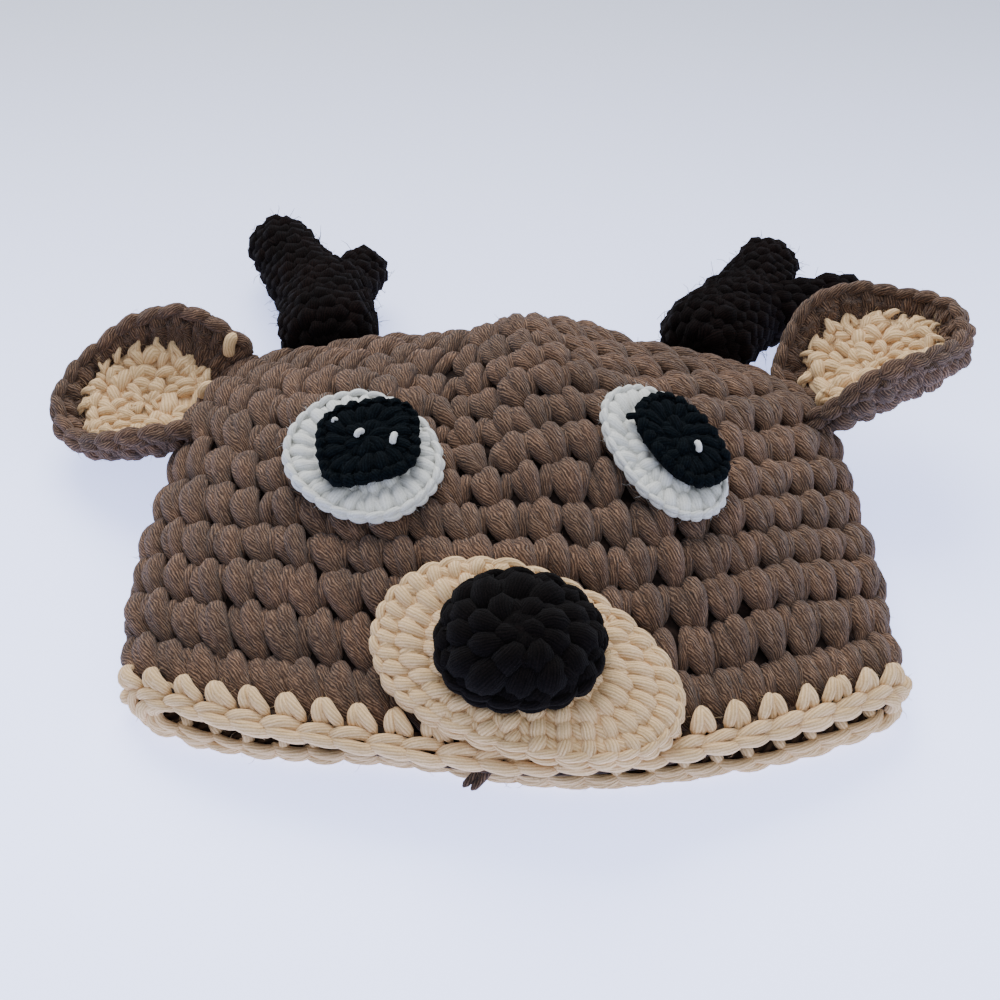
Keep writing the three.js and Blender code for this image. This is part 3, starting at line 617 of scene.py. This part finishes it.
# Crown: rounds of stitches from the brim to the closed end. Its back lies on the floor, below the fold
STITCH = 8.3
ROWS = 15
BRIM_STITCHES = 46
BACK_BELOW = 9.5
WALL_IN, WALL_OUT = -6.6, -4.6


def crown_rows():
    rows, drift = [], 0.0
    for r in range(ROWS):
        u0, u1 = r / ROWS, (r + 1) / ROWS
        girth = CROWN.girth(min(0.99, (u0 + u1) / 2))
        count = max(6, min(BRIM_STITCHES, int(round(girth / STITCH))))
        rows.append((u0, u1, count, drift))
        drift = (drift + 0.44) % 1
    return rows


def yarn_end(yarn):
    """The loose end of the brown yarn that hangs from the brim: two plies side by side."""
    for dx, dy in ((0, 0), (1.9, -0.9)):
        points = [(-3.0, -76.0, 9.0), (-5.6, -78.6, 7.0), (-8.2, -80.8, 4.6), (-11.0, -82.8, 2.6)]
        stray(yarn, [(x + dx, y + dy, z) for x, y, z in points], 0.95, K=14)


def make_crown_half(part, keep, legs, fibres):
    yarn = Yarn()
    stitch_rows(yarn, CROWN, crown_rows(), legs, sink=-4.5, fat=1.07, keep=keep, mirror=True, jitter=0.09,
                sway=0.0085)
    if part == "front":
        yarn_end(yarn)
    fuzz(yarn, fibres, 2.4, thin=0.06)
    yarn.build("crown_" + part, BROWN, nodes=("crown",))


def make_liner():
    """The crown's inside: one rippled skin with the rounds of the stitches, coloured darker than the brown
    yarn as painted shade for the hollow seen between the stitches.
    """
    liner = Yarn()
    u, v = spread_out(0, 0.985, 50, 92)
    ripple = 0.35 * np.sin(u * ROWS * 2 * math.pi) * np.sin(v * BRIM_STITCHES * 2 * math.pi)
    outside, inside = CROWN.at(u, v, WALL_OUT + ripple), CROWN.at(u, v, WALL_IN + 1.2 * ripple)
    liner.sheet(np.concatenate([outside, inside[::-1]]))
    liner.build("crown_inside", INNER_SHADE)


make_crown_half("front", lambda p: p[:, 2] > BACK_BELOW, FAN, 1500)
make_crown_half("back", lambda p: p[:, 2] <= BACK_BELOW, FAN_COARSE, 100)
make_liner()


def even_rows(P, count):
    """A grid with its rows an even distance apart, and the distance to each of the old rows."""
    step = np.linalg.norm(np.diff(P, axis=0), axis=-1).mean(1)
    length = travelled(step)
    want = np.linspace(0, length[-1], count)
    i = np.clip(np.searchsorted(length, want, side="right") - 1, 0, len(P) - 2)
    f = ((want - length[i]) / (length[i + 1] - length[i]))[:, None, None]
    return P[i] * (1 - f) + P[i + 1] * f, length


# A link of a braid: along in links, across and height in links, then radii
LINK = ([(-0.08, 0.03, -0.22), (0.1, 0.09, 0.0), (0.42, 0.19, 0.14),
         (0.8, 0.27, 0.14), (1.12, 0.29, 0.0), (1.32, 0.25, -0.2)],
        [0.1, 0.15, 0.18, 0.18, 0.155, 0.1])
LINK_RINGS, LINK_SIDES = 11, 8


def braid(yarn, surf, u0, per_mm, count, sink=0.0, fat=1.0, wide=1.0, run=1, offset=0.0, jitter=0.03,
          keep=None):
    """A chain of two-legged links on a line of constant u. per_mm turns millimetres into u."""
    size = surf.girth(u0) / count
    start = np.arange(count) + offset
    if keep is not None:
        start = start[keep(surf.at(u0, start / count, 0))]
    spl, rad = tube_template(*LINK, LINK_RINGS)
    for side in (-1, 1):
        T = len(start)
        j = rng.normal(0, jitter, (T, 1, 3))
        grow = 1 + rng.normal(0, jitter * 1.5, (T, 1))
        v = (start[:, None] + run * (spl[None, :, 0] + j[..., 0])) / count
        u = u0 + side * (spl[None, :, 1] * wide + j[..., 1] * 0.5) * size * per_mm
        lift = (spl[None, :, 2] + j[..., 2] * 0.5) * size + sink
        rings = sweep(surf.at(u, v, lift), rad[None] * size * grow * fat, LINK_SIDES)
        yarn.tubes_from(rings, rng.uniform(0, 40, T))


# Hem: its section, from the crown's first round over the edge to the inside
HEM_WIDTH, HEM_WALL, HEM_CLEAR, HEM_ROUND = 8.5, 6.6, 0.3, 2.4
# Where the crown's sections end, past the brim
HEM_REACH = SECTIONS[0, 0]


def hem_point(angle, along, across):
    """A point of the hem: along from brim to edge and across from outside to inside, both 0 to 1."""
    s = section(HEM_REACH * along)
    outer = section_point(s, angle)
    hollow = dict(s, h=s["h"] - HEM_WALL, T=s["T"] - HEM_WALL, U=s["U"] + HEM_WALL)
    p = outer * (1 - across) + section_point(hollow, angle) * across
    p[..., 1] = section_point(section(0.0), angle)[..., 1] - HEM_CLEAR - (HEM_WIDTH - HEM_CLEAR) * along
    return p


def brim_angles(count):
    return even_angles(lambda a: section_point(section(0.0), a), count)


def hem_surface():
    """The hem from outside to inside, a millimetre as a share of it, and its brim, edge and inner end."""
    soft = HEM_ROUND / HEM_WIDTH
    profile = [(0.0, 0.0), (0.45, 0.0), (1 - soft, 0.03), (1 - soft * 0.3, 0.16), (1.0, 0.38), (1.0, 0.62),
               (1 - soft * 0.3, 0.84), (1 - soft, 0.97), (0.45, 1.0), (0.0, 1.0)]
    on_crown = (0.1, 0.08, 0.06, 0.04, 0.02, 0.006)
    round_it = np.arange(RING_POINTS) / RING_POINTS
    rows = [CROWN.at(u, round_it, 0) for u in on_crown]
    angles = brim_angles(RING_POINTS)
    rows += [hem_point(angles, *place) for place in profile]
    grid, lengths = even_rows(np.array(rows), 60)
    brim = len(on_crown)
    edge = brim + 4
    per_mm = 1 / lengths[-1]
    return (Surface(grid), per_mm, lengths[brim] * per_mm, (lengths[edge] + lengths[edge + 1]) / 2 * per_mm,
            lengths[-1] * per_mm)


HEM, HEM_MM, HEM_BRIM, HEM_EDGE, HEM_IN = hem_surface()

# Spike stitches of the hem: two legs that meet over the crown's first round, and the posts inside
SPIKE_LEFT = ([(0.3, -0.16, -0.06), (0.23, 0.22, 0.12), (0.17, 0.58, 0.16), (0.1, 0.88, 0.08),
               (0.04, 1.08, -0.2)], [0.16, 0.195, 0.18, 0.14, 0.09])
SPIKE_RIGHT = ([(-0.3, -0.2, -0.08), (-0.17, 0.2, 0.11), (-0.06, 0.56, 0.15), (0.0, 0.86, 0.08),
                (0.02, 1.06, -0.2)], [0.16, 0.2, 0.19, 0.15, 0.09])
SPIKE_FILL = ([(0.0, -0.25, -0.1), (0.03, 0.25, 0.08), (0.05, 0.6, 0.14), (0.05, 0.9, 0.04)],
              [0.14, 0.18, 0.15, 0.1])
SPIKE = ((SPIKE_LEFT, 10, 10), (SPIKE_RIGHT, 10, 10), (SPIKE_FILL, 8, 8))
POST_LEG = ([(0.0, -0.1, -0.15), (0.03, 0.2, 0.08), (-0.03, 0.6, 0.1), (0.0, 1.1, -0.2)],
            [0.14, 0.17, 0.17, 0.13])
POST = ((POST_LEG, 9, 8),)


def make_hem():
    hem = Yarn()
    lower = lambda p: p[:, 2] < BACK_BELOW
    from_brim, from_edge = (lambda mm: HEM_BRIM + mm * HEM_MM), (lambda mm: HEM_EDGE + mm * HEM_MM)
    spikes = [(from_brim(2.2), from_brim(-2.9), BRIM_STITCHES, 0.62)]
    lip = [(from_edge(0.6), from_edge(6.6), BRIM_STITCHES, 0.3)]
    inside = [(from_edge(6.4), HEM_IN - 0.5 * HEM_MM, BRIM_STITCHES, 0.1)]
    links = dict(run=-1, jitter=0.045)
    stitch_rows(hem, HEM, spikes, SPIKE, sink=-0.4, fat=0.9, jitter=0.06)
    braid(hem, HEM, from_edge(-4.9), HEM_MM, BRIM_STITCHES, -1.0, 1.04, wide=0.8, offset=0.75, **links)
    braid(hem, HEM, from_edge(-0.7), HEM_MM, BRIM_STITCHES, -0.9, 0.86, wide=0.42, offset=0.4, keep=lower,
          **links)
    stitch_rows(hem, HEM, lip, POST, sink=-1.7, fat=1.1, keep=lower, jitter=0.07)
    stitch_rows(hem, HEM, inside, POST, sink=-1.9, jitter=0.07)
    fuzz(hem, 700, 2.2, thin=0.055)
    hem.build("hem", TAN, nodes=("hem",))


def make_hem_core():
    """The dark core that shows between the hem's stitches: a sheet of painted shade for the hollows between
    them.
    """
    profile = [(0.1, 0.2), (0.5, 0.18), (0.7, 0.25), (0.8, 0.38), (0.83, 0.5),
               (0.8, 0.62), (0.7, 0.75), (0.5, 0.82), (0.1, 0.8)]
    angles = brim_angles(RING_POINTS // 2)
    core = Yarn()
    core.sheet(np.array([hem_point(angles, *place) for place in profile]), ring=True)
    core.build("hem_core", CORE_SHADE)


make_hem()
make_hem_core()


def patch(x, y, long, wide, turn, square):
    """A face patch on the crown: its middle, length, width, turn in degrees and how square it is."""
    return dict(x=x, y=y, long=long, wide=wide, turn=math.radians(turn), square=square)


EYES = {
    "left": (patch(-35.2, -13.8, 42.5, 33, 133, 2.15), patch(-33.6, -13.4, 24.5, 24, 97, 3.2)),
    "right": (patch(36.4, -12.6, 39.5, 25.5, 119, 2.15), patch(39.8, -11.6, 27.5, 18.5, 124, 2.4)),
}
MUZZLE, SNOUT = patch(3.4, -68.2, 72, 41.5, -21, 2.15), patch(2, -65.65, 36, 32.5, -10, 2.2)
PATCH_GAP, MUZZLE_WALL, MUZZLE_DOME = 0.5, 5.0, 4.5


def patch_place(p, share, a):
    c, s = np.cos(a), np.sin(a)
    reach = (np.abs(c) ** p["square"] + np.abs(s) ** p["square"]) ** (-1 / p["square"])
    along, across = p["long"] / 2 * share * reach * c, p["wide"] / 2 * share * reach * s
    return (p["x"] + along * math.cos(p["turn"]) - across * math.sin(p["turn"]),
            p["y"] + along * math.sin(p["turn"]) + across * math.cos(p["turn"]))


def muzzle_height(x, y):
    m = MUZZLE
    dx, dy = x - m["x"], y - m["y"]
    along = (dx * math.cos(m["turn"]) + dy * math.sin(m["turn"])) / (m["long"] / 2)
    across = (dy * math.cos(m["turn"]) - dx * math.sin(m["turn"])) / (m["wide"] / 2)
    share = (np.abs(along) ** m["square"] + np.abs(across) ** m["square"]) ** (1 / m["square"])
    return PATCH_GAP + MUZZLE_WALL + MUZZLE_DOME * (1 - np.minimum(1, share * share))


PAD_POINTS, PAD_ROWS, SKIN_ROWS, SKIN_DROP = 160, 40, 26, 1.6


def pad(p, low, wall, dome, carried=None):
    """Surface of a pad's face, from its rim to its middle, and a closed skin a little inside it."""
    a = np.arange(PAD_POINTS) / PAD_POINTS * 2 * math.pi
    over = lambda share: low + wall + dome * (1 - share * share)
    rim = [(0.955, 0.0), (0.99, 0.16), (1.0, 0.45), (0.985, 0.76), (0.95, 0.94)]
    places = [(share, low + (over(share) - low) * k) for share, k in rim]
    places += [(share, over(share)) for share in np.linspace(0.9, 0.03, 22)]

    def ring_at(share, lift):
        x, y = patch_place(p, share, a)
        return front_point(x, y, (carried(x, y) if carried else 0) + lift + 0 * x)

    grid, length = even_rows(np.array([ring_at(*place) for place in places]), PAD_ROWS)
    surf = Surface(grid)
    under = np.array([ring_at(share, low + 0.2) for share in (0.03, 0.5, 0.9)])
    inner = surf.at(*spread_out(0, 0.97, SKIN_ROWS, PAD_POINTS), -SKIN_DROP)
    return surf, np.concatenate([under, inner]), 1 / length[-1]


def rounds(surf, edges, width, least=5):
    """Rounds of stitches between the edges. width is a stitch's width in millimetres, or the counts."""
    rows = []
    for i, (u0, u1) in enumerate(zip(edges[:-1], edges[1:])):
        if isinstance(width, tuple):
            count = width[i]
        else:
            count = max(least, int(round(surf.girth((u0 + u1) / 2) / width)))
        rows.append((u1, u0, count, 0.5 * (i % 2)))
    return rows


def make_pad(node, material, p, size, edges, width, sink, fat, rim=None, carried=None,
             fibres=350, jitter=0.06):
    """size: the gap below, the wall and the dome. rim: the place, links, sink, fat and width of a braid."""
    surf, skin, per_mm = pad(p, *size, carried)
    rows = rounds(surf, edges, width)
    yarn = Yarn()
    stitch_rows(yarn, surf, rows, SMALL, sink, fat, jitter=jitter, spin=1.6 * jitter)
    if rim:
        braid(yarn, surf, rim[0], per_mm, *rim[1:])
    yarn.sheet(skin)
    fuzz(yarn, fibres, 1.7)
    yarn.build(node, material, nodes=(node,))


make_pad("muzzle", TAN, MUZZLE, (PATCH_GAP, MUZZLE_WALL, MUZZLE_DOME),
         [0.14, 0.3, 0.46, 0.62, 0.78, 0.9, 1.0], 4.9, -2.6, 1.2, rim=(0.1, 32, -1.1, 1.1, 0.85))
make_pad("nose", NOSE, SNOUT, (0.0, 4.0, 6.5), [0.06, 0.3, 0.56, 0.8, 1.0], (17, 12, 8, 4), -4.4,
         1.75, rim=(0.08, 17, -1.5, 1.1, 0.9), carried=lambda x, y: muzzle_height(x, y) + 0.5,
         fibres=700, jitter=0.08)
for side, (white, _) in EYES.items():
    make_pad("eye_" + side + "_white", WHITE, white, (PATCH_GAP, 3.2, 0.0), [0.2, 0.5, 0.8, 1.0],
             4.2, -2.5, 1.3, rim=(0.13, 27, -1.1, 1.1, 0.85))
for side, (_, pupil) in EYES.items():
    make_pad("eye_" + side + "_pupil", BLACK, pupil, (4.2, 3.4, 0.6), [0.06, 0.38, 0.7, 1.0],
             3.4, -2.7, 1.5)


def make_spike():
    """Two black strands that run from the right pupil over the white. Columns: x, y, lift."""
    upper = [(34.0, -8.0, 5.6), (31.0, -7.6, 6.2), (28.6, -7.2, 5.8), (27.0, -6.9, 4.6)]
    lower = [(33.0, -11.0, 5.6), (31.0, -10.8, 6.0), (29.6, -10.9, 4.8)]
    spike = Yarn()
    for points, radius in ((upper, 0.9), (lower, 0.7)):
        x, y, lift = np.array(points).T
        stray(spike, front_point(x, y, lift), radius)
    spike.build("eye_right_spike", BLACK)


def make_glints():
    """Short white stitches on the pupils. Columns: x, y, half the stitch along x and y, radius."""
    glint = Yarn()
    for x, y, dx, dy, radius in ((-27.8, -15.1, 0.15, 1.3, 0.85), (-35.0, -13.0, 0.7, 0.6, 0.75),
                                 (-40.6, -8.3, 0.5, 0.3, 0.4), (42.8, -14.8, -0.2, 1.2, 0.75)):
        along = np.array([-1, -0.4, 0.4, 1])
        stray(glint, front_point(x + dx * along, y + dy * along, np.array([7.4, 8.3, 8.3, 7.4])), radius)
    glint.build("eye_glints", WHITE)


make_spike()
make_glints()


# Ears: a cupped leaf, its inside, its rim and its underside in one surface
def ear(root, tip, width, lean, cup, pinch, shift, short):
    """shift and short place the tan lining along the ear and say how much of its length it takes."""
    root, tip = np.array(root, float), np.array(tip, float)
    along = tip - root
    length = np.linalg.norm(along)
    along /= length
    lean = math.radians(lean)
    across = np.cross([0, -math.sin(lean), math.cos(lean)], along)
    across /= np.linalg.norm(across)
    return dict(root=root, along=along, across=across, normal=np.cross(along, across), length=length,
                width=width, cup=cup, pinch=pinch, lining=(shift, short))


# Columns: share of the length, share of half the width
EAR_OUTLINE = np.array([(0, 0.5), (0.12, 0.72), (0.3, 0.93), (0.5, 1.0), (0.7, 0.93), (0.85, 0.71),
                        (0.95, 0.42), (1.0, 0.0)])
EAR_WALL, EAR_PAD, EAR_SHARE = 4.6, 3.0, 0.7
WHOLE_EAR = (0.0, 1.0)


def ear_spot(e, at, across, lift):
    """A place over an ear: a share of its length, and millimetres to the side and of lift."""
    reach = across / (e["width"] / 2)
    end = np.maximum(0, (at - 0.55) / 0.45)
    gather = 1 + e["pinch"] * (1 - at) ** 2
    rise = e["cup"] * (np.abs(reach) ** 3 * 0.9 * gather + end * end * 0.55) - e["cup"] * 0.35
    return (e["root"] + e["along"] * (at * e["length"])[..., None] + e["across"] * across[..., None]
            + e["normal"] * (rise + lift)[..., None])


def ear_point(e, share, a, lift, lining):
    """The ear's outline at the angle a, drawn in to a share of itself."""
    shift, short = lining
    at = 0.5 + shift + 0.5 * short * np.cos(a) * share
    half = np.maximum(0, read(EAR_OUTLINE, 1, np.clip(0.5 + 0.5 * np.cos(a), 0, 1))) * e["width"] / 2
    across = np.sign(np.sin(a)) * half * share * np.minimum(1, 0.55 + np.abs(np.sin(a)))
    return ear_spot(e, at, across, lift)


def ear_surface(e, places, lining=WHOLE_EAR):
    a = even_angles(lambda b: ear_point(e, 1.0, b, 0 * b, WHOLE_EAR), 200)
    rows = np.array([ear_point(e, share, a, lift + 0 * a, lining) for share, lift in places])
    grid, length = even_rows(rows, 70)
    return Surface(grid, flip=True), length


TUFT_RADII = [0.17, 0.2, 0.15, 0.07]
TUFT_LEFT = ([(0.3, 0.0, -0.02), (0.2, 0.4, 0.12), (0.04, 0.8, 0.1), (-0.02, 1.1, -0.2)], TUFT_RADII)
TUFT_RIGHT = ([(-0.3, 0.0, -0.02), (-0.18, 0.4, 0.12), (-0.02, 0.8, 0.1), (0.02, 1.1, -0.2)], TUFT_RADII)
TUFT = ((TUFT_LEFT, 9, 8), (TUFT_RIGHT, 9, 8))


def make_ear_outer(side, e):
    inside = [(share, 0.9 * float(smooth(share, 0.75, 0.95))) for share in np.linspace(0.03, 0.95, 20)]
    edge = [(0.985, 0.35), (1.0, -1.2), (1.005, -3.0), (0.99, -5.0), (0.95, -6.4)]
    below = [(share, -EAR_WALL - 2.4 * share) for share in np.linspace(0.9, 0.03, 18)]
    surf, length = ear_surface(e, inside + edge + below)
    mm = 1 / length[-1]
    rim, bottom = length[len(inside) + 1] * mm, length[len(inside) + 4] * mm
    u = lambda share: np.interp(share, [s for s, _ in inside], length[:len(inside)]) * mm
    yarn = Yarn()
    rows = [(u(0.42), u(0.62), 18, 0.3), (u(0.6), u(0.78), 22, 0.1), (u(0.77), u(0.95), 25, 0.5)]
    stitch_rows(yarn, surf, rows, FAN_SMALL, sink=-2.4, fat=1.15, keep=off_crown, jitter=0.08)
    braid(yarn, surf, rim - 0.6 * mm, mm, 25, sink=-0.7, fat=1.35, wide=0.9, keep=off_crown)
    under = [bottom - 2.5 * mm, bottom + 4.5 * mm, bottom + 11 * mm, bottom + 16 * mm, 0.985]
    rows = rounds(surf, under, 6.8, least=6)
    stitch_rows(yarn, surf, rows, FAN_SMALL, sink=-2.3, fat=1.1, keep=off_crown, jitter=0.08)
    yarn.sheet(surf.at(*spread_out(0.01, 0.99, 40, 72), -1.5))
    fuzz(yarn, 700, 2.0)
    yarn.build("ear_" + side + "_outer", BROWN, nodes=("ear_" + side + "_outer",))


def tan_stitches(yarn, e):
    """Two single stitches near the ear's root. Columns: at, across, turn in radians, lift."""
    reach = np.array([-1.8, -0.7, 0.7, 1.8])
    arch = np.array([-1.5, 1.2, 1.2, -1.5])
    for at, across, turn, lift in ((0.17, -14.5, 0.9, 1.8), (0.26, 0.5, 0.5, 6.0)):
        points = ear_spot(e, at + 0.02 * reach * math.cos(turn), across + reach * math.sin(turn), lift + arch)
        stray(yarn, points, 1.7)


def make_ear_inner(side, e):
    lining = [(share * EAR_SHARE, 0.4 + EAR_PAD * (1 - 0.25 * share * share) * (1 if share < 0.96 else 0.6))
              for share in np.linspace(1.04, 0.04, 20)]
    top, _ = ear_surface(e, lining, e["lining"])
    top.N = -top.N
    rows = rounds(top, [0.06, 0.3, 0.54, 0.78, 1.0], 4.4)
    tufts = [(0.14, -0.1, 19, 0.2)]
    tan = Yarn()
    stitch_rows(tan, top, rows, SMALL, sink=-1.8, fat=1.12, keep=off_crown, jitter=0.2, spin=0.8)
    stitch_rows(tan, top, tufts, TUFT, sink=-1.3, fat=0.95, keep=off_crown, jitter=0.2, spin=0.45)
    u, v = spread_out(0.03, 0.97, 24, 96)
    tan.sheet(np.concatenate([top.at(u[::-1], v, -2.6), top.at(u, v, -1.5)]))
    fuzz(tan, 700, 2.6, thin=0.06)
    if side == "left":
        tan_stitches(tan, e)
    tan.build("ear_" + side + "_inner", TAN, nodes=("ear_" + side + "_inner",))


def off_crown(p):
    """Places that are not buried in the crown."""
    height = front_height(p[:, 0], p[:, 1])
    return (np.abs(p[:, 0]) > 78) | (p[:, 2] > height - 5.0) | (p[:, 1] > 62)


EARS = {
    "left": ear((-65.99, 38, 21.01), (-123.52, 39.95, 14.01), 45, 9, 15, 0.8, 0.075, 0.8),
    "right": ear((72.38, 29.0, 26.32), (119.38, 45.5, 39.95), 46, -12, 15, 0.5, 0.0, 0.95),
}
for side, e in EARS.items():
    make_ear_outer(side, e)
    make_ear_inner(side, e)

# Antlers: three limbs each, with rounds of small stitches
ANTLER_FLAT = 0.86
LIMB_STITCH, LIMB_ROUND = 4.7, 4.6
# Columns: start, end, radius at the start, radius at the end
LIMBS = {
    "left": [((-50, 60, 23), (-53, 85, 17), 14, 13.5), ((-55, 83, 17), (-68.5, 115, 13), 12, 10.2),
             ((-49, 83, 17), (-43.5, 101.5, 13), 9.5, 8.2)],
    "right": [((55, 56, 24), (66, 76, 18), 14, 13.5), ((66, 76, 18), (76, 101, 15), 11.5, 10),
              ((70, 73, 18), (95, 85, 15), 10, 8.6)],
}


def limb_surface(limb, rows=60, count=96):
    start, end, r0, r1 = np.array(limb[0], float), np.array(limb[1], float), limb[2], limb[3]
    axis = end - start
    length = np.linalg.norm(axis)
    axis /= length
    side = np.cross(axis, [0, 0, 1.0])
    side /= np.linalg.norm(side)
    up = np.cross(side, axis)
    places = [(-r0 * math.cos(a), r0 * math.sin(a)) for a in np.linspace(0.05, math.pi / 2, 12)]
    places += [(length * k, r0 + (r1 - r0) * k) for k in np.linspace(0.08, 0.92, 10)]
    places += [(length + r1 * math.sin(a), r1 * math.cos(a)) for a in np.linspace(0, math.pi / 2 - 0.06, 12)]
    a = (np.arange(count) / count * 2 * math.pi)[:, None]
    section_ = side[None] * np.cos(a) + up[None] * ANTLER_FLAT * np.sin(a)
    grid, travelled = even_rows(np.array([start + axis * d + section_ * r for d, r in places]), rows)
    return Surface(grid, flip=True), travelled[-1]


def inside_limb(p, limb, less):
    """Whether points lie deeper in a limb than less, in millimetres."""
    start, end = np.array(limb[0], float), np.array(limb[1], float)
    axis = end - start
    t = np.clip(((p - start) @ axis) / (axis @ axis), 0, 1)
    d = p - (start + t[:, None] * axis)
    d[:, 2] /= ANTLER_FLAT
    return np.linalg.norm(d, axis=1) < limb[2] + (limb[3] - limb[2]) * t - less


def make_antler(side, limbs):
    yarn = Yarn()
    for limb in limbs:
        surf, length = limb_surface(limb)
        others = [other for other in limbs if other is not limb]
        keep = lambda p: ~np.any([inside_limb(p, other, 1.8) for other in others], axis=0) & off_crown(p)
        count = int(round(length / LIMB_ROUND))
        rows = []
        for r in range(count):
            u0, u1 = r / count, (r + 1) / count
            rows.append((u0, u1, max(5, int(round(surf.girth((u0 + u1) / 2) / LIMB_STITCH))), 0.44 * r))
        stitch_rows(yarn, surf, rows, TINY, sink=-3.7, fat=1.85, keep=keep, jitter=0.11)
        yarn.sheet(surf.at(*spread_out(0.0, 1.0, 30, 48), -1.7))
    fuzz(yarn, 1500, 3.8, thin=0.085)
    yarn.build("antler_" + side, ANTLER, nodes=("antler_" + side,))


for side, limbs in LIMBS.items():
    make_antler(side, limbs)

# Floor: the shadow side of the photograph's floor fades from bright in front to grey behind as painted shade
# in its colour, and the floor glows in front as painted light, though it is no lamp
FLOOR_DROP, FLOOR_NEAR, FLOOR_FAR, FLOOR_PAINTED_GLOW = -0.0004, -0.1, 0.36, 2.7


def floor_share(tree, along, low, high, kind="LINEAR"):
    """Runs from low to high between the floor's near and far places."""
    made = new_node(tree, "ShaderNodeMapRange", interpolation_type=kind)
    for name, value in (("From Min", FLOOR_NEAR), ("From Max", FLOOR_FAR), ("To Min", low), ("To Max", high)):
        made.inputs[name].default_value = value
    tree.links.new(along, made.inputs["Value"])
    return made.outputs["Result"]


def make_floor():
    me = bpy.data.meshes.new("floor")
    corners = [(-6, -6), (6, -6), (6, 10), (-6, 10)]
    me.from_pydata([(x, y, FLOOR_DROP) for x, y in corners], [], [(0, 1, 2, 3)])
    floor = bpy.data.objects.new("floor", me)
    bpy.context.scene.collection.objects.link(floor)
    m = bpy.data.materials.new("floor")
    m.use_nodes = True
    tree, link = m.node_tree, m.node_tree.links.new
    bsdf = tree.nodes["Principled BSDF"]
    bsdf.inputs["Roughness"].default_value = 0.55
    # Painted light: the floor glows pale blue, strongest in front and fading out behind
    bsdf.inputs["Emission Color"].default_value = (0.5, 0.58, 1.0, 1.0)
    split = new_node(tree, "ShaderNodeSeparateXYZ")
    link(new_node(tree, "ShaderNodeTexCoord").outputs["Object"], split.inputs[0])
    along = split.outputs[1]
    # Painted shade: the floor's colour greys from the front to the back
    painted_shade_tones = [(0.0, linear((228, 231, 244))), (1.0, linear((184, 189, 206)))]
    link(ramp(tree, floor_share(tree, along, 0.0, 1.0), painted_shade_tones), bsdf.inputs["Base Color"])
    link(floor_share(tree, along, FLOOR_PAINTED_GLOW, 0.0, "SMOOTHSTEP"), bsdf.inputs["Emission Strength"])
    me.materials.append(m)


def make_world(colour, strength):
    world = bpy.data.worlds.new("world")
    bpy.context.scene.world = world
    world.use_nodes = True
    background = world.node_tree.nodes["Background"]
    background.inputs[0].default_value = linear(colour)
    background.inputs[1].default_value = strength


def area(name, at, size, power, colour):
    """A square light that faces the hat."""
    data = bpy.data.lights.new(name, "AREA")
    data.shape = "RECTANGLE"
    data.size = data.size_y = size
    data.energy = power
    data.color = colour
    light = bpy.data.objects.new(name, data)
    bpy.context.scene.collection.objects.link(light)
    light.location = at
    light.rotation_euler = (-Vector(at)).to_track_quat("-Z", "Y").to_euler()


make_floor()
make_world((214, 222, 240), 0.95)
area("key", (-0.2, 0.75, 0.95), 0.9, 19.0, (1.0, 0.99, 0.97))
area("fill", (0.9, -0.5, 0.9), 0.9, 4.0, (0.94, 0.97, 1.0))
